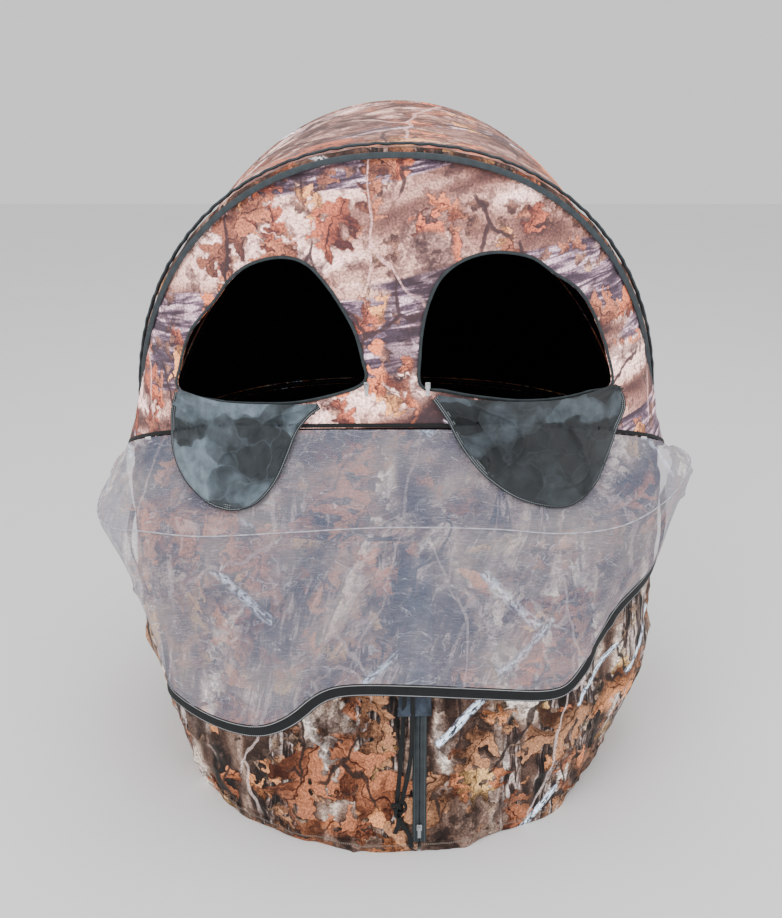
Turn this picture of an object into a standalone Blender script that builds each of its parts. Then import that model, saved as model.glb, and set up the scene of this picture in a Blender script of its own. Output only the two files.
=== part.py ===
"""Pop up ground blind: folding hoops on side hubs, a fabric shell, mesh apron and window flaps."""
import math
import bpy
import bmesh
from mathutils import Matrix, Vector
from mathutils.bvhtree import BVHTree

# ---- driving dimensions (metres, degrees) ----
HUB_Z = 0.65
ROD_R = 0.0045
FABRIC_T = 0.0012
FABRIC_OFF = 0.0064
TRIM_R = 0.064
PIN_R = 0.005
BORE_R = 0.00535
PLATE_X = 0.568
PLATE_T = 0.012
EYE_T = 0.007
DOOR_X = 0.045
# width, reach, exponent, angle about the hubs
FRONT_BOW = (0.554, 0.720, 2.2, 70.0)
CROWN_BOW = (0.543, 0.755, 2.0, 97.0)
BACK_BOW = (0.532, 0.740, 2.0, 138.0)
REAR_WAIST = (0.568, 0.552, 2.4, 180.0)
LAP_BOW = (0.568, 0.430, 2.4, 0.0)
FRONT_BASE = (0.560, 0.840, 2.0, -50.0)
REAR_BASE = (0.560, 0.840, 2.0, 230.0)
FACE_HEM = (0.585, 0.405, 2.6, 27.0)
RIDGE_Z = 0.668
HEM_A = 0.505
HEM_B = 0.565
HEM_N = 2.2
WINDOW = ((0.062, 0.905), (0.072, 0.965), (0.098, 1.035), (0.140, 1.092), (0.195, 1.128), (0.250, 1.133),
          (0.305, 1.108), (0.350, 1.060), (0.385, 0.995), (0.408, 0.930), (0.416, 0.893), (0.330, 0.887),
          (0.240, 0.886), (0.150, 0.891))
FLAP = ((0.085, 0.884), (0.150, 0.881), (0.240, 0.876), (0.330, 0.876), (0.425, 0.884), (0.437, 0.840),
        (0.425, 0.785), (0.385, 0.740), (0.330, 0.712), (0.270, 0.712), (0.215, 0.745), (0.165, 0.800),
        (0.115, 0.850))

for old in list(bpy.data.objects):
    bpy.data.objects.remove(old)

COLL = bpy.data.collections.new("pop_up_ground_blind")
CUTS = bpy.data.collections.new("cutters")
bpy.context.scene.collection.children.link(COLL)
bpy.context.scene.collection.children.link(CUTS)


def material(name, color, rough=0.8, metal=0.0):
    mat = bpy.data.materials.new(name)
    mat.use_nodes = True
    bsdf = mat.node_tree.nodes["Principled BSDF"]
    bsdf.inputs["Base Color"].default_value = (*color, 1.0)
    bsdf.inputs["Roughness"].default_value = rough
    bsdf.inputs["Metallic"].default_value = metal
    return mat


CAMO = material("camo_fabric", (0.30, 0.22, 0.16), 0.85)
MESH = material("mesh_fabric", (0.45, 0.42, 0.48), 0.9)
LINING = material("coated_nylon", (0.07, 0.09, 0.10), 0.45)
WEBBING = material("black_webbing", (0.02, 0.02, 0.022), 0.8)
ROD = material("fibreglass_rod", (0.03, 0.03, 0.03), 0.4)
MOULDED = material("hub_plastic", (0.025, 0.025, 0.027), 0.5)
STEEL = material("plated_steel", (0.62, 0.62, 0.62), 0.3, 1.0)


def spow(value, power):
    return math.copysign(abs(value) ** power, value)


def polar(x, r, phi):
    a = math.radians(phi)
    return Vector((x, -r * math.cos(a), HUB_Z + r * math.sin(a)))


def bow_point(bow, t):
    width, reach, n, phi = bow
    x = width * spow(math.cos(t), 2.0 / n)
    r = reach * max(math.sin(t), 0.0) ** (2.0 / n)
    return polar(x, r, phi)


def bow_start(bow, r0):
    return math.asin((r0 / bow[1]) ** (bow[2] / 2.0))


def keep(obj, mat, origin=None):
    """Give the piece its material and set its origin, on the joint's axis where it moves."""
    obj.data.materials.clear()
    obj.data.materials.append(mat)
    if origin is not None:
        obj.data.transform(Matrix.Translation(-Vector(origin)))
        obj.location = origin
    return obj


def add(name, data):
    obj = bpy.data.objects.new(name, data)
    COLL.objects.link(obj)
    return obj


def mesh_of(name, bm):
    mesh = bpy.data.meshes.new(name)
    bm.to_mesh(mesh)
    bm.free()
    mesh.shade_smooth()
    return mesh


def tube(name, path, radius, mat, origin=None):
    """A round bar or cord along a list of points."""
    curve = bpy.data.curves.new(name, "CURVE")
    curve.dimensions = "3D"
    curve.bevel_depth = radius
    curve.bevel_resolution = 2
    curve.use_fill_caps = True
    spline = curve.splines.new("POLY")
    spline.points.add(len(path) - 1)
    for point, co in zip(spline.points, path):
        point.co = (*co, 1.0)
    return keep(add(name, curve), mat, origin)


def shell(name, grid, thick, mat, origin=None, ring=False):
    """Cloth: an open surface through rows of points, thickened evenly to both sides."""
    bm = bmesh.new()
    rows = [[bm.verts.new(p) for p in line] for line in grid]
    pairs = list(zip(rows, rows[1:]))
    if ring:
        pairs.append((rows[-1], rows[0]))
    for a, b in pairs:
        for j in range(len(a) - 1):
            bm.faces.new((a[j], b[j], b[j + 1], a[j + 1]))
    bmesh.ops.recalc_face_normals(bm, faces=bm.faces)
    obj = add(name, mesh_of(name, bm))
    solid = obj.modifiers.new("thickness", "SOLIDIFY")
    solid.thickness = thick
    solid.offset = 0.0
    return keep(obj, mat, origin)


def flat_piece(name, loops, thick, mat, location, turn=(0, 0, 0)):
    """A flat outline with holes, as a filled 2D curve extruded to its thickness."""
    curve = bpy.data.curves.new(name, "CURVE")
    curve.dimensions = "2D"
    curve.fill_mode = "BOTH"
    curve.extrude = thick / 2
    for loop in loops:
        spline = curve.splines.new("POLY")
        spline.points.add(len(loop) - 1)
        spline.use_cyclic_u = True
        for point, co in zip(spline.points, loop):
            point.co = (co[0], co[1], 0.0, 1.0)
    obj = add(name, curve)
    obj.location = location
    obj.rotation_euler = turn
    return keep(obj, mat)


def gore(bow_a, bow_b, rows, cols, gap=0.0, off=FABRIC_OFF, belly=0.0):
    """Straight-lined cloth between two hoops, set outside their rods."""
    t_a = bow_start(bow_a, TRIM_R)
    t_b = bow_start(bow_b, TRIM_R)
    grid = []
    for i in range(rows + 1):
        u = i / rows
        a = bow_point(bow_a, t_a + (math.pi - 2 * t_a) * u)
        b = bow_point(bow_b, t_b + (math.pi - 2 * t_b) * u)
        du = 1e-3
        a2 = bow_point(bow_a, t_a + (math.pi - 2 * t_a) * (u + du))
        a1 = bow_point(bow_a, t_a + (math.pi - 2 * t_a) * (u - du))
        b2 = bow_point(bow_b, t_b + (math.pi - 2 * t_b) * (u + du))
        b1 = bow_point(bow_b, t_b + (math.pi - 2 * t_b) * (u - du))
        chord = (b - a).normalized()
        line = []
        close = gap + gap * 9.0 * max(0.0, 1.0 - min(u, 1.0 - u) / 0.15)
        for j in range(cols + 1):
            v = close + (1 - 2 * close) * j / cols
            along = (a2 - a1) * (1 - v) + (b2 - b1) * v
            normal = along.cross(chord).normalized()
            base = a.lerp(b, v)
            away = base - Vector((0, 0, HUB_Z))
            if normal.dot(away) < 0:
                normal = -normal
            line.append(base + normal * (off + belly * math.sin(math.pi * v)))
        grid.append(line)
    return grid


# ---- hoops and hubs ----
def rod_path(bow, start_r, steps=18):
    t0 = bow_start(bow, start_r)
    return [bow_point(bow, t0 + (math.pi - 2 * t0) * i / steps) for i in range(steps + 1)]


HUB = (0.0, 0.0, HUB_Z)
for label, bow in (("lap_bow", LAP_BOW), ("rear_waist_bow", REAR_WAIST), ("front_base_bow", FRONT_BASE),
                   ("rear_base_bow", REAR_BASE)):
    tube(label, rod_path(bow, 0.0590), ROD_R, ROD)
for label, bow in (("back_bow", BACK_BOW), ("crown_bow", CROWN_BOW), ("front_bow", FRONT_BOW)):
    tube(label, rod_path(bow, 0.0365), ROD_R, ROD, HUB)


def lug_outline(core, reach, half, angles, count=40):
    """Round boss with arms, as radius against angle; both in the plane of the hub."""
    points = []
    for i in range(count):
        a = 2 * math.pi * i / count
        r = core
        for phi in angles:
            d = a - math.radians(phi)
            if math.cos(d) > 0.2:
                r = max(r, min(reach / math.cos(d), half / max(abs(math.sin(d)), 1e-6)))
        points.append((r * math.cos(a), r * math.sin(a)))
    return points


def circle(radius, count=16):
    return [(radius * math.cos(2 * math.pi * i / count), radius * math.sin(2 * math.pi * i / count))
            for i in range(count)]


SIDES = ((1, "right"), (-1, "left"))
ACROSS = (0.0, math.pi / 2, 0.0)


def hub_piece(name, side, x_mid, thick, outline, mat):
    """A flat part lying in the plane of the hub, bored for the pivot; the outline is (forward, up)."""
    points = [(-up, -forward) for forward, up in outline]
    return flat_piece(name, (points, circle(BORE_R)), thick, mat, (side * x_mid, 0.0, HUB_Z), ACROSS)


def hub_bolt(name, side):
    """Pivot bolt with its round head inside, turned about its own axis."""
    profile = ((0.0, 0.5190), (0.0095, 0.5190), (0.0095, 0.5230), (PIN_R, 0.5232), (PIN_R, 0.5856),
               (PIN_R - 0.0006, 0.5862), (0.0, 0.5862))
    bm = bmesh.new()
    verts = [bm.verts.new((r, 0.0, h)) for r, h in profile]
    for a, b in zip(verts, verts[1:]):
        bm.edges.new((a, b))
    bmesh.ops.spin(bm, geom=list(bm.edges) + list(bm.verts), cent=(0, 0, 0), axis=(0, 0, 1),
                   angle=2 * math.pi, steps=16, use_merge=True)
    bmesh.ops.remove_doubles(bm, verts=bm.verts, dist=1e-6)
    bmesh.ops.recalc_face_normals(bm, faces=bm.faces)
    obj = add(name, mesh_of(name, bm))
    obj.location = (0.0, 0.0, HUB_Z)
    obj.rotation_euler = (0.0, side * math.pi / 2, 0.0)
    return keep(obj, STEEL)


for side, label in SIDES:
    hub_piece("hub_plate_" + label, side, PLATE_X, PLATE_T, lug_outline(0.026, 0.058, 0.0082, (0, 180, 230, -50)),
              MOULDED)
    for hoop, bow in (("back", BACK_BOW), ("crown", CROWN_BOW), ("front", FRONT_BOW)):
        hub_piece(hoop + "_bow_eye_" + label, side, bow[0], EYE_T, lug_outline(0.0125, 0.036, 0.0056, (bow[3],)),
                  STEEL)
    hub_bolt("pivot_bolt_" + label, side)
    hub_piece("pivot_washer_" + label, side, 0.57525, 0.0015, circle(0.0110), STEEL)
    hub_piece("pivot_nut_" + label, side, 0.5804, 0.0080, circle(0.0095, 6), STEEL)

# ---- hood fabric ----
face = shell("face_panel", gore(FRONT_BOW, FACE_HEM, 28, 5, 0.004), FABRIC_T, CAMO, HUB)
shell("roof_front", gore(FRONT_BOW, CROWN_BOW, 20, 2, 0.01), FABRIC_T, CAMO, HUB)
shell("roof_rear", gore(CROWN_BOW, BACK_BOW, 20, 3, 0.01), FABRIC_T, CAMO, HUB)
shell("back_panel", gore(BACK_BOW, REAR_WAIST, 20, 3, 0.012), FABRIC_T, CAMO)


def face_at(x, z, off=0.0):
    """Point on the face cloth at a given x and z, and its outward normal."""
    t_a = bow_start(FRONT_BOW, TRIM_R)
    t_b = bow_start(FACE_HEM, TRIM_R)

    def at(u, v):
        a = bow_point(FRONT_BOW, t_a + (math.pi - 2 * t_a) * u)
        b = bow_point(FACE_HEM, t_b + (math.pi - 2 * t_b) * u)
        return a.lerp(b, v)

    u = 0.5 - 0.3 * x
    v = 0.6
    for _ in range(30):
        p = at(u, v)
        e = 1e-4
        pu = (at(u + e, v) - p) / e
        pv = (at(u, v + e) - p) / e
        det = pu.x * pv.z - pu.z * pv.x
        rx = x - p.x
        rz = z - p.z
        u += max(-0.1, min(0.1, (rx * pv.z - rz * pv.x) / det))
        v += max(-0.2, min(0.2, (rz * pu.x - rx * pu.z) / det))
        u = max(0.01, min(0.99, u))
    p = at(u, v)
    e = 1e-3
    normal = (at(u + e, v) - at(u - e, v)).cross(at(u, v + e) - at(u, v - e)).normalized()
    if normal.y > 0:
        normal = -normal
    return p + normal * (FABRIC_OFF + off), normal


def smooth_outline(points, parts):
    """Closed Catmull-Rom outline through the points."""
    out = []
    count = len(points)
    for i in range(count):
        p0, p1, p2, p3 = (points[(i + k - 1) % count] for k in range(4))
        for k in range(parts):
            s = k / parts
            out.append(tuple(0.5 * (2 * p1[m] + (p2[m] - p0[m]) * s
                                    + (2 * p0[m] - 5 * p1[m] + 4 * p2[m] - p3[m]) * s * s
                                    + (3 * p1[m] - p0[m] - 3 * p2[m] + p3[m]) * s ** 3) for m in (0, 1)))
    return out


def grown(points, by):
    """The outline moved sideways by a distance, outward when positive."""
    out = []
    count = len(points)
    for i in range(count):
        a = Vector(points[i - 1])
        b = Vector(points[(i + 1) % count])
        d = (b - a).normalized()
        out.append((points[i][0] + d.y * by * TURN[0], points[i][1] - d.x * by * TURN[0]))
    return out


TURN = [-1]


def window_line(side, by=0.0):
    return [(side * x, z) for x, z in grown(smooth_outline(WINDOW, 3), by)]


def prism(name, outline, y0, y1):
    """Cutter: the outline pushed straight through from front to back."""
    bm = bmesh.new()
    face_in = bm.faces.new([bm.verts.new((x, y0, z)) for x, z in outline])
    grown_out = bmesh.ops.extrude_face_region(bm, geom=[face_in])["geom"]
    bmesh.ops.translate(bm, vec=(0, y1 - y0, 0), verts=[v for v in grown_out if isinstance(v, bmesh.types.BMVert)])
    bmesh.ops.recalc_face_normals(bm, faces=bm.faces)
    obj = bpy.data.objects.new(name, mesh_of(name, bm))
    CUTS.objects.link(obj)
    obj.hide_render = True
    obj.display_type = "WIRE"
    return obj


for side, label in ((-1, "left"), (1, "right")):
    cutter = prism("window_cut_" + label, window_line(side), -0.60, 0.10)
    cut = face.modifiers.new("window_" + label, "BOOLEAN")
    cut.operation = "DIFFERENCE"
    cut.solver = "EXACT"
    cut.object = cutter


for side, label in SIDES:
    rows = [[face_at(x, z, 0.0022)[0], face_at(x2, z2, 0.0022)[0]]
            for (x, z), (x2, z2) in zip(window_line(side, 0.001), window_line(side, 0.013))]
    shell("window_zip_" + label, rows, 0.0014, WEBBING, None, True)


# pole sleeve over the front hoop, with a cord piping along each edge
def sleeve_frames(steps=22):
    """Rod centre, outward direction and rearward direction along the front hoop."""
    flat = gore(FRONT_BOW, FACE_HEM, steps, 2, 0.0, 0.0)
    on_face = gore(FRONT_BOW, FACE_HEM, steps, 2, 0.0, 1.0)
    on_roof = gore(FRONT_BOW, CROWN_BOW, steps, 2, 0.0, 1.0)
    frames = []
    for i in range(1, steps):
        centre = flat[i][0]
        run = (flat[i + 1][0] - flat[i - 1][0]).normalized()
        out = (on_face[i][0] - centre).normalized() + (on_roof[i][0] - centre).normalized()
        out = (out - run * out.dot(run)).normalized()
        back = out.cross(run)
        if back.y < 0:
            back = -back
        half = math.degrees(out.angle(on_face[i][0] - centre))
        frames.append((centre, out, back, max(15.0, half + 8.0)))
    return frames


def around(frame, share, radius):
    """A point beside the rod; share is 1 at the piping's line and more at the sleeve's edge."""
    centre, out, back, half = frame
    a = math.radians(half * share)
    return centre + (out * math.cos(a) + back * math.sin(a)) * radius


frames = sleeve_frames()
shell("front_sleeve", [[around(f, -1.2 + 2.4 * j / 3, 0.0142) for j in range(4)] for f in frames], 0.001, CAMO, HUB)
tube("sleeve_piping_front", [around(f, -1, 0.0110) for f in frames], 0.0021, WEBBING, HUB)
tube("sleeve_piping_rear", [around(f, 1, 0.0110) for f in frames], 0.0021, WEBBING, HUB)


# ---- skirt ----
def plan(a, b_front, b_rear, n, tau):
    b = b_front if math.sin(tau) < 0 else b_rear
    return a * spow(math.cos(tau), 2 / n), b * spow(math.sin(tau), 2 / n)


LEVELS = ((0.0240, 0.505, 0.565, 0.565, 2.2), (0.12, 0.542, 0.5497, 0.570, 2.2), (0.24, 0.580, 0.5307, 0.5738, 2.25),
          (0.42, 0.590, 0.4980, 0.570, 2.3), (0.640, 0.590, 0.452, 0.562, 2.4))


def skirt_point(tau, z, out=0.0):
    for low, high in zip(LEVELS, LEVELS[1:]):
        if z <= high[0] or high is LEVELS[-1]:
            s = (z - low[0]) / (high[0] - low[0])
            vals = [low[k] + (high[k] - low[k]) * s for k in range(1, 5)]
            break
    x, y = plan(vals[0] + out, vals[1] + out, vals[2] + out, vals[3], tau)
    return Vector((x, y, z))


def tau_at(x, z):
    """Plan angle on the front of the skirt where it reaches x."""
    low = -math.pi
    high = 0.0
    for _ in range(50):
        mid = (low + high) / 2
        if skirt_point(mid, z).x < x:
            low = mid
        else:
            high = mid
    return (low + high) / 2


def skirt(name, tau_of, cols, tops=None):
    grid = []
    zs = [0.0240, 0.12, 0.24, 0.42, 0.640]
    for i in range(cols + 1):
        grid.append([skirt_point(tau_of(i / cols, z), z) for z in zs])
    return shell(name, grid, FABRIC_T, CAMO)


GAP = 0.004
rad = math.radians
skirt("skirt_front_left", lambda s, z: rad(-144) + (tau_at(DOOR_X - 0.002, z) - rad(-144)) * s, 9)
skirt("skirt_front_right", lambda s, z: tau_at(DOOR_X + 0.002, z) * (1 - s) + rad(-36) * s, 9)
skirt("skirt_back", lambda s, z: rad(30) + rad(120) * s, 14)


def side_skirt(name, side):
    """Side wall, rising in a round tab over the hub."""
    grid = []
    cols = 14
    for i in range(cols + 1):
        s = i / cols
        tau = rad(-35.4) + rad(64.9) * s
        if side < 0:
            tau = math.pi - tau
        top = skirt_point(tau, 0.640)
        lift = 0.0
        if abs(top.y) < 0.058:
            lift = math.sqrt(0.058 ** 2 - top.y ** 2) + 0.004
        zs = [0.0240, 0.12, 0.24, 0.42, 0.640]
        line = [skirt_point(tau, z) for z in zs]
        line.append(Vector((top.x, top.y, 0.6412 + lift)))
        grid.append(line)
    return shell(name, grid, FABRIC_T, CAMO)


side_skirt("skirt_side_left", -1)
side_skirt("skirt_side_right", 1)

# hem tape on the ground, open at the door zip
start = tau_at(DOOR_X + 0.002, 0.0241)
end = tau_at(DOOR_X - 0.002, 0.0241) + 2 * math.pi
grid = []
for i in range(41):
    tau = start + (end - start) * i / 40
    p = skirt_point(tau, 0.0240)
    grid.append([Vector((p.x, p.y, 0.0)), Vector((p.x, p.y, 0.0230))])


shell("ground_hem", grid, 0.003, WEBBING)

# ---- door zip, its guard and the tie straps ----
OUT = 0.0022


def front_strip(name, x0, x1, z0, z1, out, thick, mat, rows=10, origin=None):
    line = []
    for i in range(rows + 1):
        z = z0 + (z1 - z0) * i / rows
        line.append([skirt_point(tau_at(x, z), z) + Vector((0, -out, 0)) for x in (x0, (x0 + x1) / 2, x1)])
    return shell(name, line, thick, mat, origin)


front_strip("door_zip_left", DOOR_X - 0.014, DOOR_X - 0.0010, 0.026, 0.600, OUT, 0.0012, WEBBING)
front_strip("door_zip_right", DOOR_X + 0.0010, DOOR_X + 0.014, 0.026, 0.600, OUT, 0.0012, WEBBING)


def block(name, centre, size, mat, origin, bevel=0.0004):
    """A small cast block with its edges broken."""
    bm = bmesh.new()
    bmesh.ops.create_cube(bm, size=1.0)
    bmesh.ops.scale(bm, vec=size, verts=bm.verts)
    bmesh.ops.bevel(bm, geom=list(bm.edges), offset=bevel, offset_type="OFFSET", segments=1, profile=0.5,
                    affect="EDGES", clamp_overlap=True, material=-1)
    bmesh.ops.translate(bm, vec=centre, verts=bm.verts)
    return keep(add(name, mesh_of(name, bm)), mat, origin)


def skirt_y(x, z):
    return skirt_point(tau_at(x, z), z).y


SLIDER_Z = 0.060
slope = math.atan2(skirt_y(DOOR_X, 0.05) - skirt_y(DOOR_X, 0.09), 0.04)
sy = skirt_y(DOOR_X, SLIDER_Z) - OUT - 0.0053
block("door_slider", (DOOR_X, sy, SLIDER_Z), (0.011, 0.0055, 0.014), STEEL, (DOOR_X, sy, SLIDER_Z), 0.0012)
block("door_pull", (DOOR_X, sy - 0.0048, SLIDER_Z - 0.0085), (0.007, 0.0018, 0.026), STEEL,
      (DOOR_X, sy - 0.0048, SLIDER_Z + 0.004))


def strap(name, x_top, x_low, z_top, z_low, out, mat):
    grid = []
    for i in range(9):
        s = i / 8
        z = z_top + (z_low - z_top) * s
        x = x_top + (x_low - x_top) * s
        y = skirt_y(x, z) - out
        grid.append([Vector((x - 0.0045, y, z)), Vector((x + 0.0045, y, z))])
    return shell(name, grid, 0.0014, mat)


strap("tie_strap_left", 0.012, 0.0060, 0.3600, 0.010, 0.0065, WEBBING)
strap("tie_strap_right", 0.024, 0.0165, 0.3600, 0.018, 0.0065, WEBBING)
by = skirt_y(0.014, 0.10) - 0.0065


# ---- apron ----
def ridge_point(u):
    """Along the crease over the lap hoop, from the right hub round to the left."""
    t = u * math.pi
    n = 2.4
    s = max(math.sin(t), 0.0) ** (2 / n)
    wide = 1 + 0.12 * 4 * s * (1 - s)
    return Vector((0.582 * spow(math.cos(t), 2 / n) * wide, -0.466 * s, RIDGE_Z - 0.020 * (1 - s)))


t_r = bow_start((0.582, 0.466, 2.4, 0), 0.075) / math.pi
t_f = bow_start(FACE_HEM, TRIM_R)
upper = []
COLS = 22
for i in range(COLS + 1):
    u = i / COLS
    top = bow_point(FACE_HEM, t_f + (math.pi - 2 * t_f) * u)
    out = (top - Vector((0, 0, HUB_Z)))
    out.x *= 0.3
    top = top + out.normalized() * 0.0105 + Vector((0, -0.002, -0.010))
    low = ridge_point(t_r + (1 - 2 * t_r) * u)
    upper.append([top.lerp(low, v / 3) for v in range(3)] + [top.lerp(low, 0.985)])
shell("apron_upper", upper, 0.001, MESH, HUB)

drop = []
for i in range(COLS + 1):
    u = i / COLS
    ridge = ridge_point(t_r + (1 - 2 * t_r) * u)
    tau = -math.pi * (t_r + (1 - 2 * t_r) * u)
    z = 0.395 + 0.19 * max(0.0, (abs(math.cos(tau)) - 0.5) / 0.5) ** 1.4
    low = skirt_point(tau, z, 0.030)
    ridge = ridge + Vector((0, 0, -0.004))
    line = []
    for v in range(4):
        s = v / 3
        p = ridge.lerp(low, s)
        line.append(p)
    drop.append(line)
shell("apron_drop", drop, 0.001, MESH, (0.0, -0.466, RIDGE_Z))
hem = []
for i, line in enumerate(drop):
    run = (drop[min(i + 1, COLS)][-1] - drop[max(i - 1, 0)][-1]).normalized()
    d = line[-1] - line[-2]
    d = (d - run * d.dot(run)).normalized()
    hem.append([line[-1] + d * 0.0020, line[-1] + d * 0.0260])
shell("apron_binding", hem, 0.0022, WEBBING, (0.0, -0.466, RIDGE_Z))

# tape along the foot of the face
tape = []
lifted = gore(FRONT_BOW, FACE_HEM, 28, 5, 0.004, FABRIC_OFF + 0.0055)
for line in lifted:
    up = (line[0] - line[-1]).normalized()
    tape.append([line[-1] + up * 0.0015, line[-1] + up * 0.0135])
shell("face_hem_tape", tape, 0.0012, WEBBING, HUB)


# ---- window flaps, hanging from the sills ----
def tree_of(grid):
    """Something to drop points onto: the grid as a search tree."""
    verts = [p for line in grid for p in line]
    wide = len(grid[0])
    polys = [(i * wide + j, i * wide + j + 1, (i + 1) * wide + j + 1, (i + 1) * wide + j)
             for i in range(len(grid) - 1) for j in range(wide - 1)]
    return BVHTree.FromPolygons(verts, polys)


FRONT = (tree_of(upper), tree_of(gore(FRONT_BOW, FACE_HEM, 48, 8)))


def flap_y(x, z):
    """The flap hangs just clear of whatever lies furthest forward behind it."""
    best = 0.0
    for dz in (-0.012, 0.0, 0.012):
        for tree in FRONT:
            hit = tree.ray_cast(Vector((x, -1.0, z + dz)), Vector((0, 1, 0)))[0]
            if hit:
                best = min(best, hit.y)
    return best - 0.0100


def flap(label, side):
    rows = 5
    cols = 10
    outline_top = 0.884
    grid = []
    for i in range(cols + 1):
        s = i / cols
        x = 0.085 + (0.437 - 0.085) * s
        low = 0.884 - 0.172 * max(0.0, math.sin(math.pi * min(1.0, max(0.0, 0.03 + 0.94 * s ** 0.82)))) ** 0.55
        low = min(low, 0.86)
        line = []
        for j in range(rows + 1):
            z = outline_top + (low - outline_top) * j / rows
            line.append(Vector((side * x, flap_y(x, z), z)))
        grid.append(line)
    hinge = Vector((side * 0.255, flap_y(0.255, 0.884), 0.884))
    shell("flap_" + label, grid, 0.0012, LINING, hinge)
    edge = []
    lows = [line[-1] for line in grid]
    for i, p in enumerate(lows):
        a = lows[max(i - 1, 0)]
        b = lows[min(i + 1, cols)]
        d = (b - a).normalized()
        n = Vector((0, -1, 0))
        down = d.cross(n).normalized()
        if down.z > 0:
            down = -down
        edge.append([p + down * 0.0020, p + down * 0.0130])
    shell("flap_tape_" + label, edge, 0.0020, LINING, hinge)
    return hinge


HINGES = [flap("left", -1), flap("right", 1)]

# ---- window zip sliders and pulls, at the foot of each inner edge ----
for side, label in ((-1, "left"), (1, "right")):
    p, n = face_at(0.0575, 0.915, 0.0)
    q, n2 = face_at(0.0675, 0.975, 0.0)
    p = Vector((side * p.x, p.y, p.z))
    n = Vector((side * n.x, n.y, n.z))
    at = p + n * 0.0078
    block("window_slider_" + label, at, (0.010, 0.0050, 0.013), STEEL, at, 0.0012)
    pull = at + Vector((0, -0.0046, -0.0085))
    block("window_pull_" + label, pull, (0.007, 0.0018, 0.022), STEEL, at + Vector((0, -0.0046, 0.002)))

flat_piece("strap_slide", (((-0.0142, -0.0046), (0.0142, -0.0046), (0.0142, 0.0046), (-0.0142, 0.0046)),
                           ((-0.0116, -0.0024), (0.0116, -0.0024), (0.0116, 0.0024), (-0.0116, 0.0024))),
           0.0120, MOULDED, (0.0132, by, 0.100))
bpy.context.view_layer.update()
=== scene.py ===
"""Pop up ground blind dressed for display: camouflage shell, window flaps, mesh apron, straps, zips and stage."""

import math

import bmesh
import bpy
import numpy as np
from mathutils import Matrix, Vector, noise
from mathutils.bvhtree import BVHTree
from mathutils.kdtree import KDTree


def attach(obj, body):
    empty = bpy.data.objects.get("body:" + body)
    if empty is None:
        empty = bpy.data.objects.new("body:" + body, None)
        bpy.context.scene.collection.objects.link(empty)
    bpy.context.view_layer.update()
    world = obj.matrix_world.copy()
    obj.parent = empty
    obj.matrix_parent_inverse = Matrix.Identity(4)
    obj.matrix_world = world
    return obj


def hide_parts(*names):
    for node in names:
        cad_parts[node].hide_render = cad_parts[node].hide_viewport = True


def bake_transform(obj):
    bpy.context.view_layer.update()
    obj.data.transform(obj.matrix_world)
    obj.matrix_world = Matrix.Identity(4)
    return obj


CLOTH_SEED = 7  # without a fixed seed, the noise that crumples the cloth differs on every run
noise.seed_set(CLOTH_SEED)

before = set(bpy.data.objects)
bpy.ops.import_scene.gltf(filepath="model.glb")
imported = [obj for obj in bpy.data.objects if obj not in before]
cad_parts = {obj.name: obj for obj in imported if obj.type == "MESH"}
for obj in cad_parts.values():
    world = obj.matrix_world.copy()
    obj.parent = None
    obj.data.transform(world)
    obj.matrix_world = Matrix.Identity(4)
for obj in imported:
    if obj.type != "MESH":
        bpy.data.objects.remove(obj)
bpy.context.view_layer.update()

bl_info = {
    "name": "Pop up ground blind",
    "version": (1, 0, 0),
    "blender": (4, 5, 0),
    "location": "View3D > Sidebar > Blind",
    "description": "Builds the cloth, trims, hardware finishes and stage of a pop up ground blind",
    "category": "Object",
}

# ---- hoops: half width, reach from the hub axis, roundness, angle about the hubs ----
HUB_Z = 0.65
HUB = np.array((0.0, 0.0, HUB_Z))
FRONT_HOOP = (0.554, 0.720, 2.2, 70.0)
CROWN_HOOP = (0.543, 0.755, 2.0, 97.0)
BACK_HOOP = (0.532, 0.740, 2.0, 138.0)
REAR_WAIST = (0.568, 0.552, 2.4, 180.0)
LAP_HOOP = (0.568, 0.430, 2.4, 0.0)
FACE_HEM = (0.585, 0.405, 2.6, 27.0)
CLOTH_OUT = 0.0064
CLOTH_START = 0.064
# height, half width, forward reach, rearward reach, roundness of the skirt's plan
SKIRT_LEVELS = np.array(((0.0, 0.500, 0.562, 0.562, 2.2), (0.024, 0.505, 0.565, 0.565, 2.2),
                         (0.12, 0.542, 0.5497, 0.570, 2.2), (0.24, 0.580, 0.5307, 0.5738, 2.25),
                         (0.42, 0.590, 0.498, 0.570, 2.3), (0.64, 0.590, 0.452, 0.562, 2.4),
                         (0.80, 0.590, 0.452, 0.562, 2.4)))
DOOR_X = 0.045
# sill to crown outline of each window, as x and z
LEFT_WINDOW = ((-0.063, 0.925), (-0.067, 0.962), (-0.081, 1.011), (-0.103, 1.051), (-0.132, 1.093), (-0.170, 1.131),
               (-0.215, 1.142), (-0.274, 1.128), (-0.316, 1.098), (-0.345, 1.060), (-0.383, 1.017), (-0.407, 0.982),
               (-0.424, 0.929), (-0.426, 0.884), (-0.344, 0.876), (-0.249, 0.879), (-0.184, 0.885), (-0.108, 0.903))
RIGHT_WINDOW = ((0.047, 0.918), (0.045, 0.970), (0.050, 1.022), (0.063, 1.071), (0.086, 1.113), (0.130, 1.142),
                (0.185, 1.152), (0.250, 1.141), (0.300, 1.108), (0.345, 1.078), (0.373, 1.040), (0.393, 1.000),
                (0.410, 0.955), (0.421, 0.895), (0.372, 0.889), (0.316, 0.884), (0.237, 0.885), (0.156, 0.896),
                (0.090, 0.908))


# ---- shaping ----
def spow(value, power):
    return np.sign(value) * np.abs(value) ** power


def polar(x, reach, phi):
    a = np.radians(phi)
    return np.stack([x, -reach * np.cos(a), HUB_Z + reach * np.sin(a)], -1)


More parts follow.
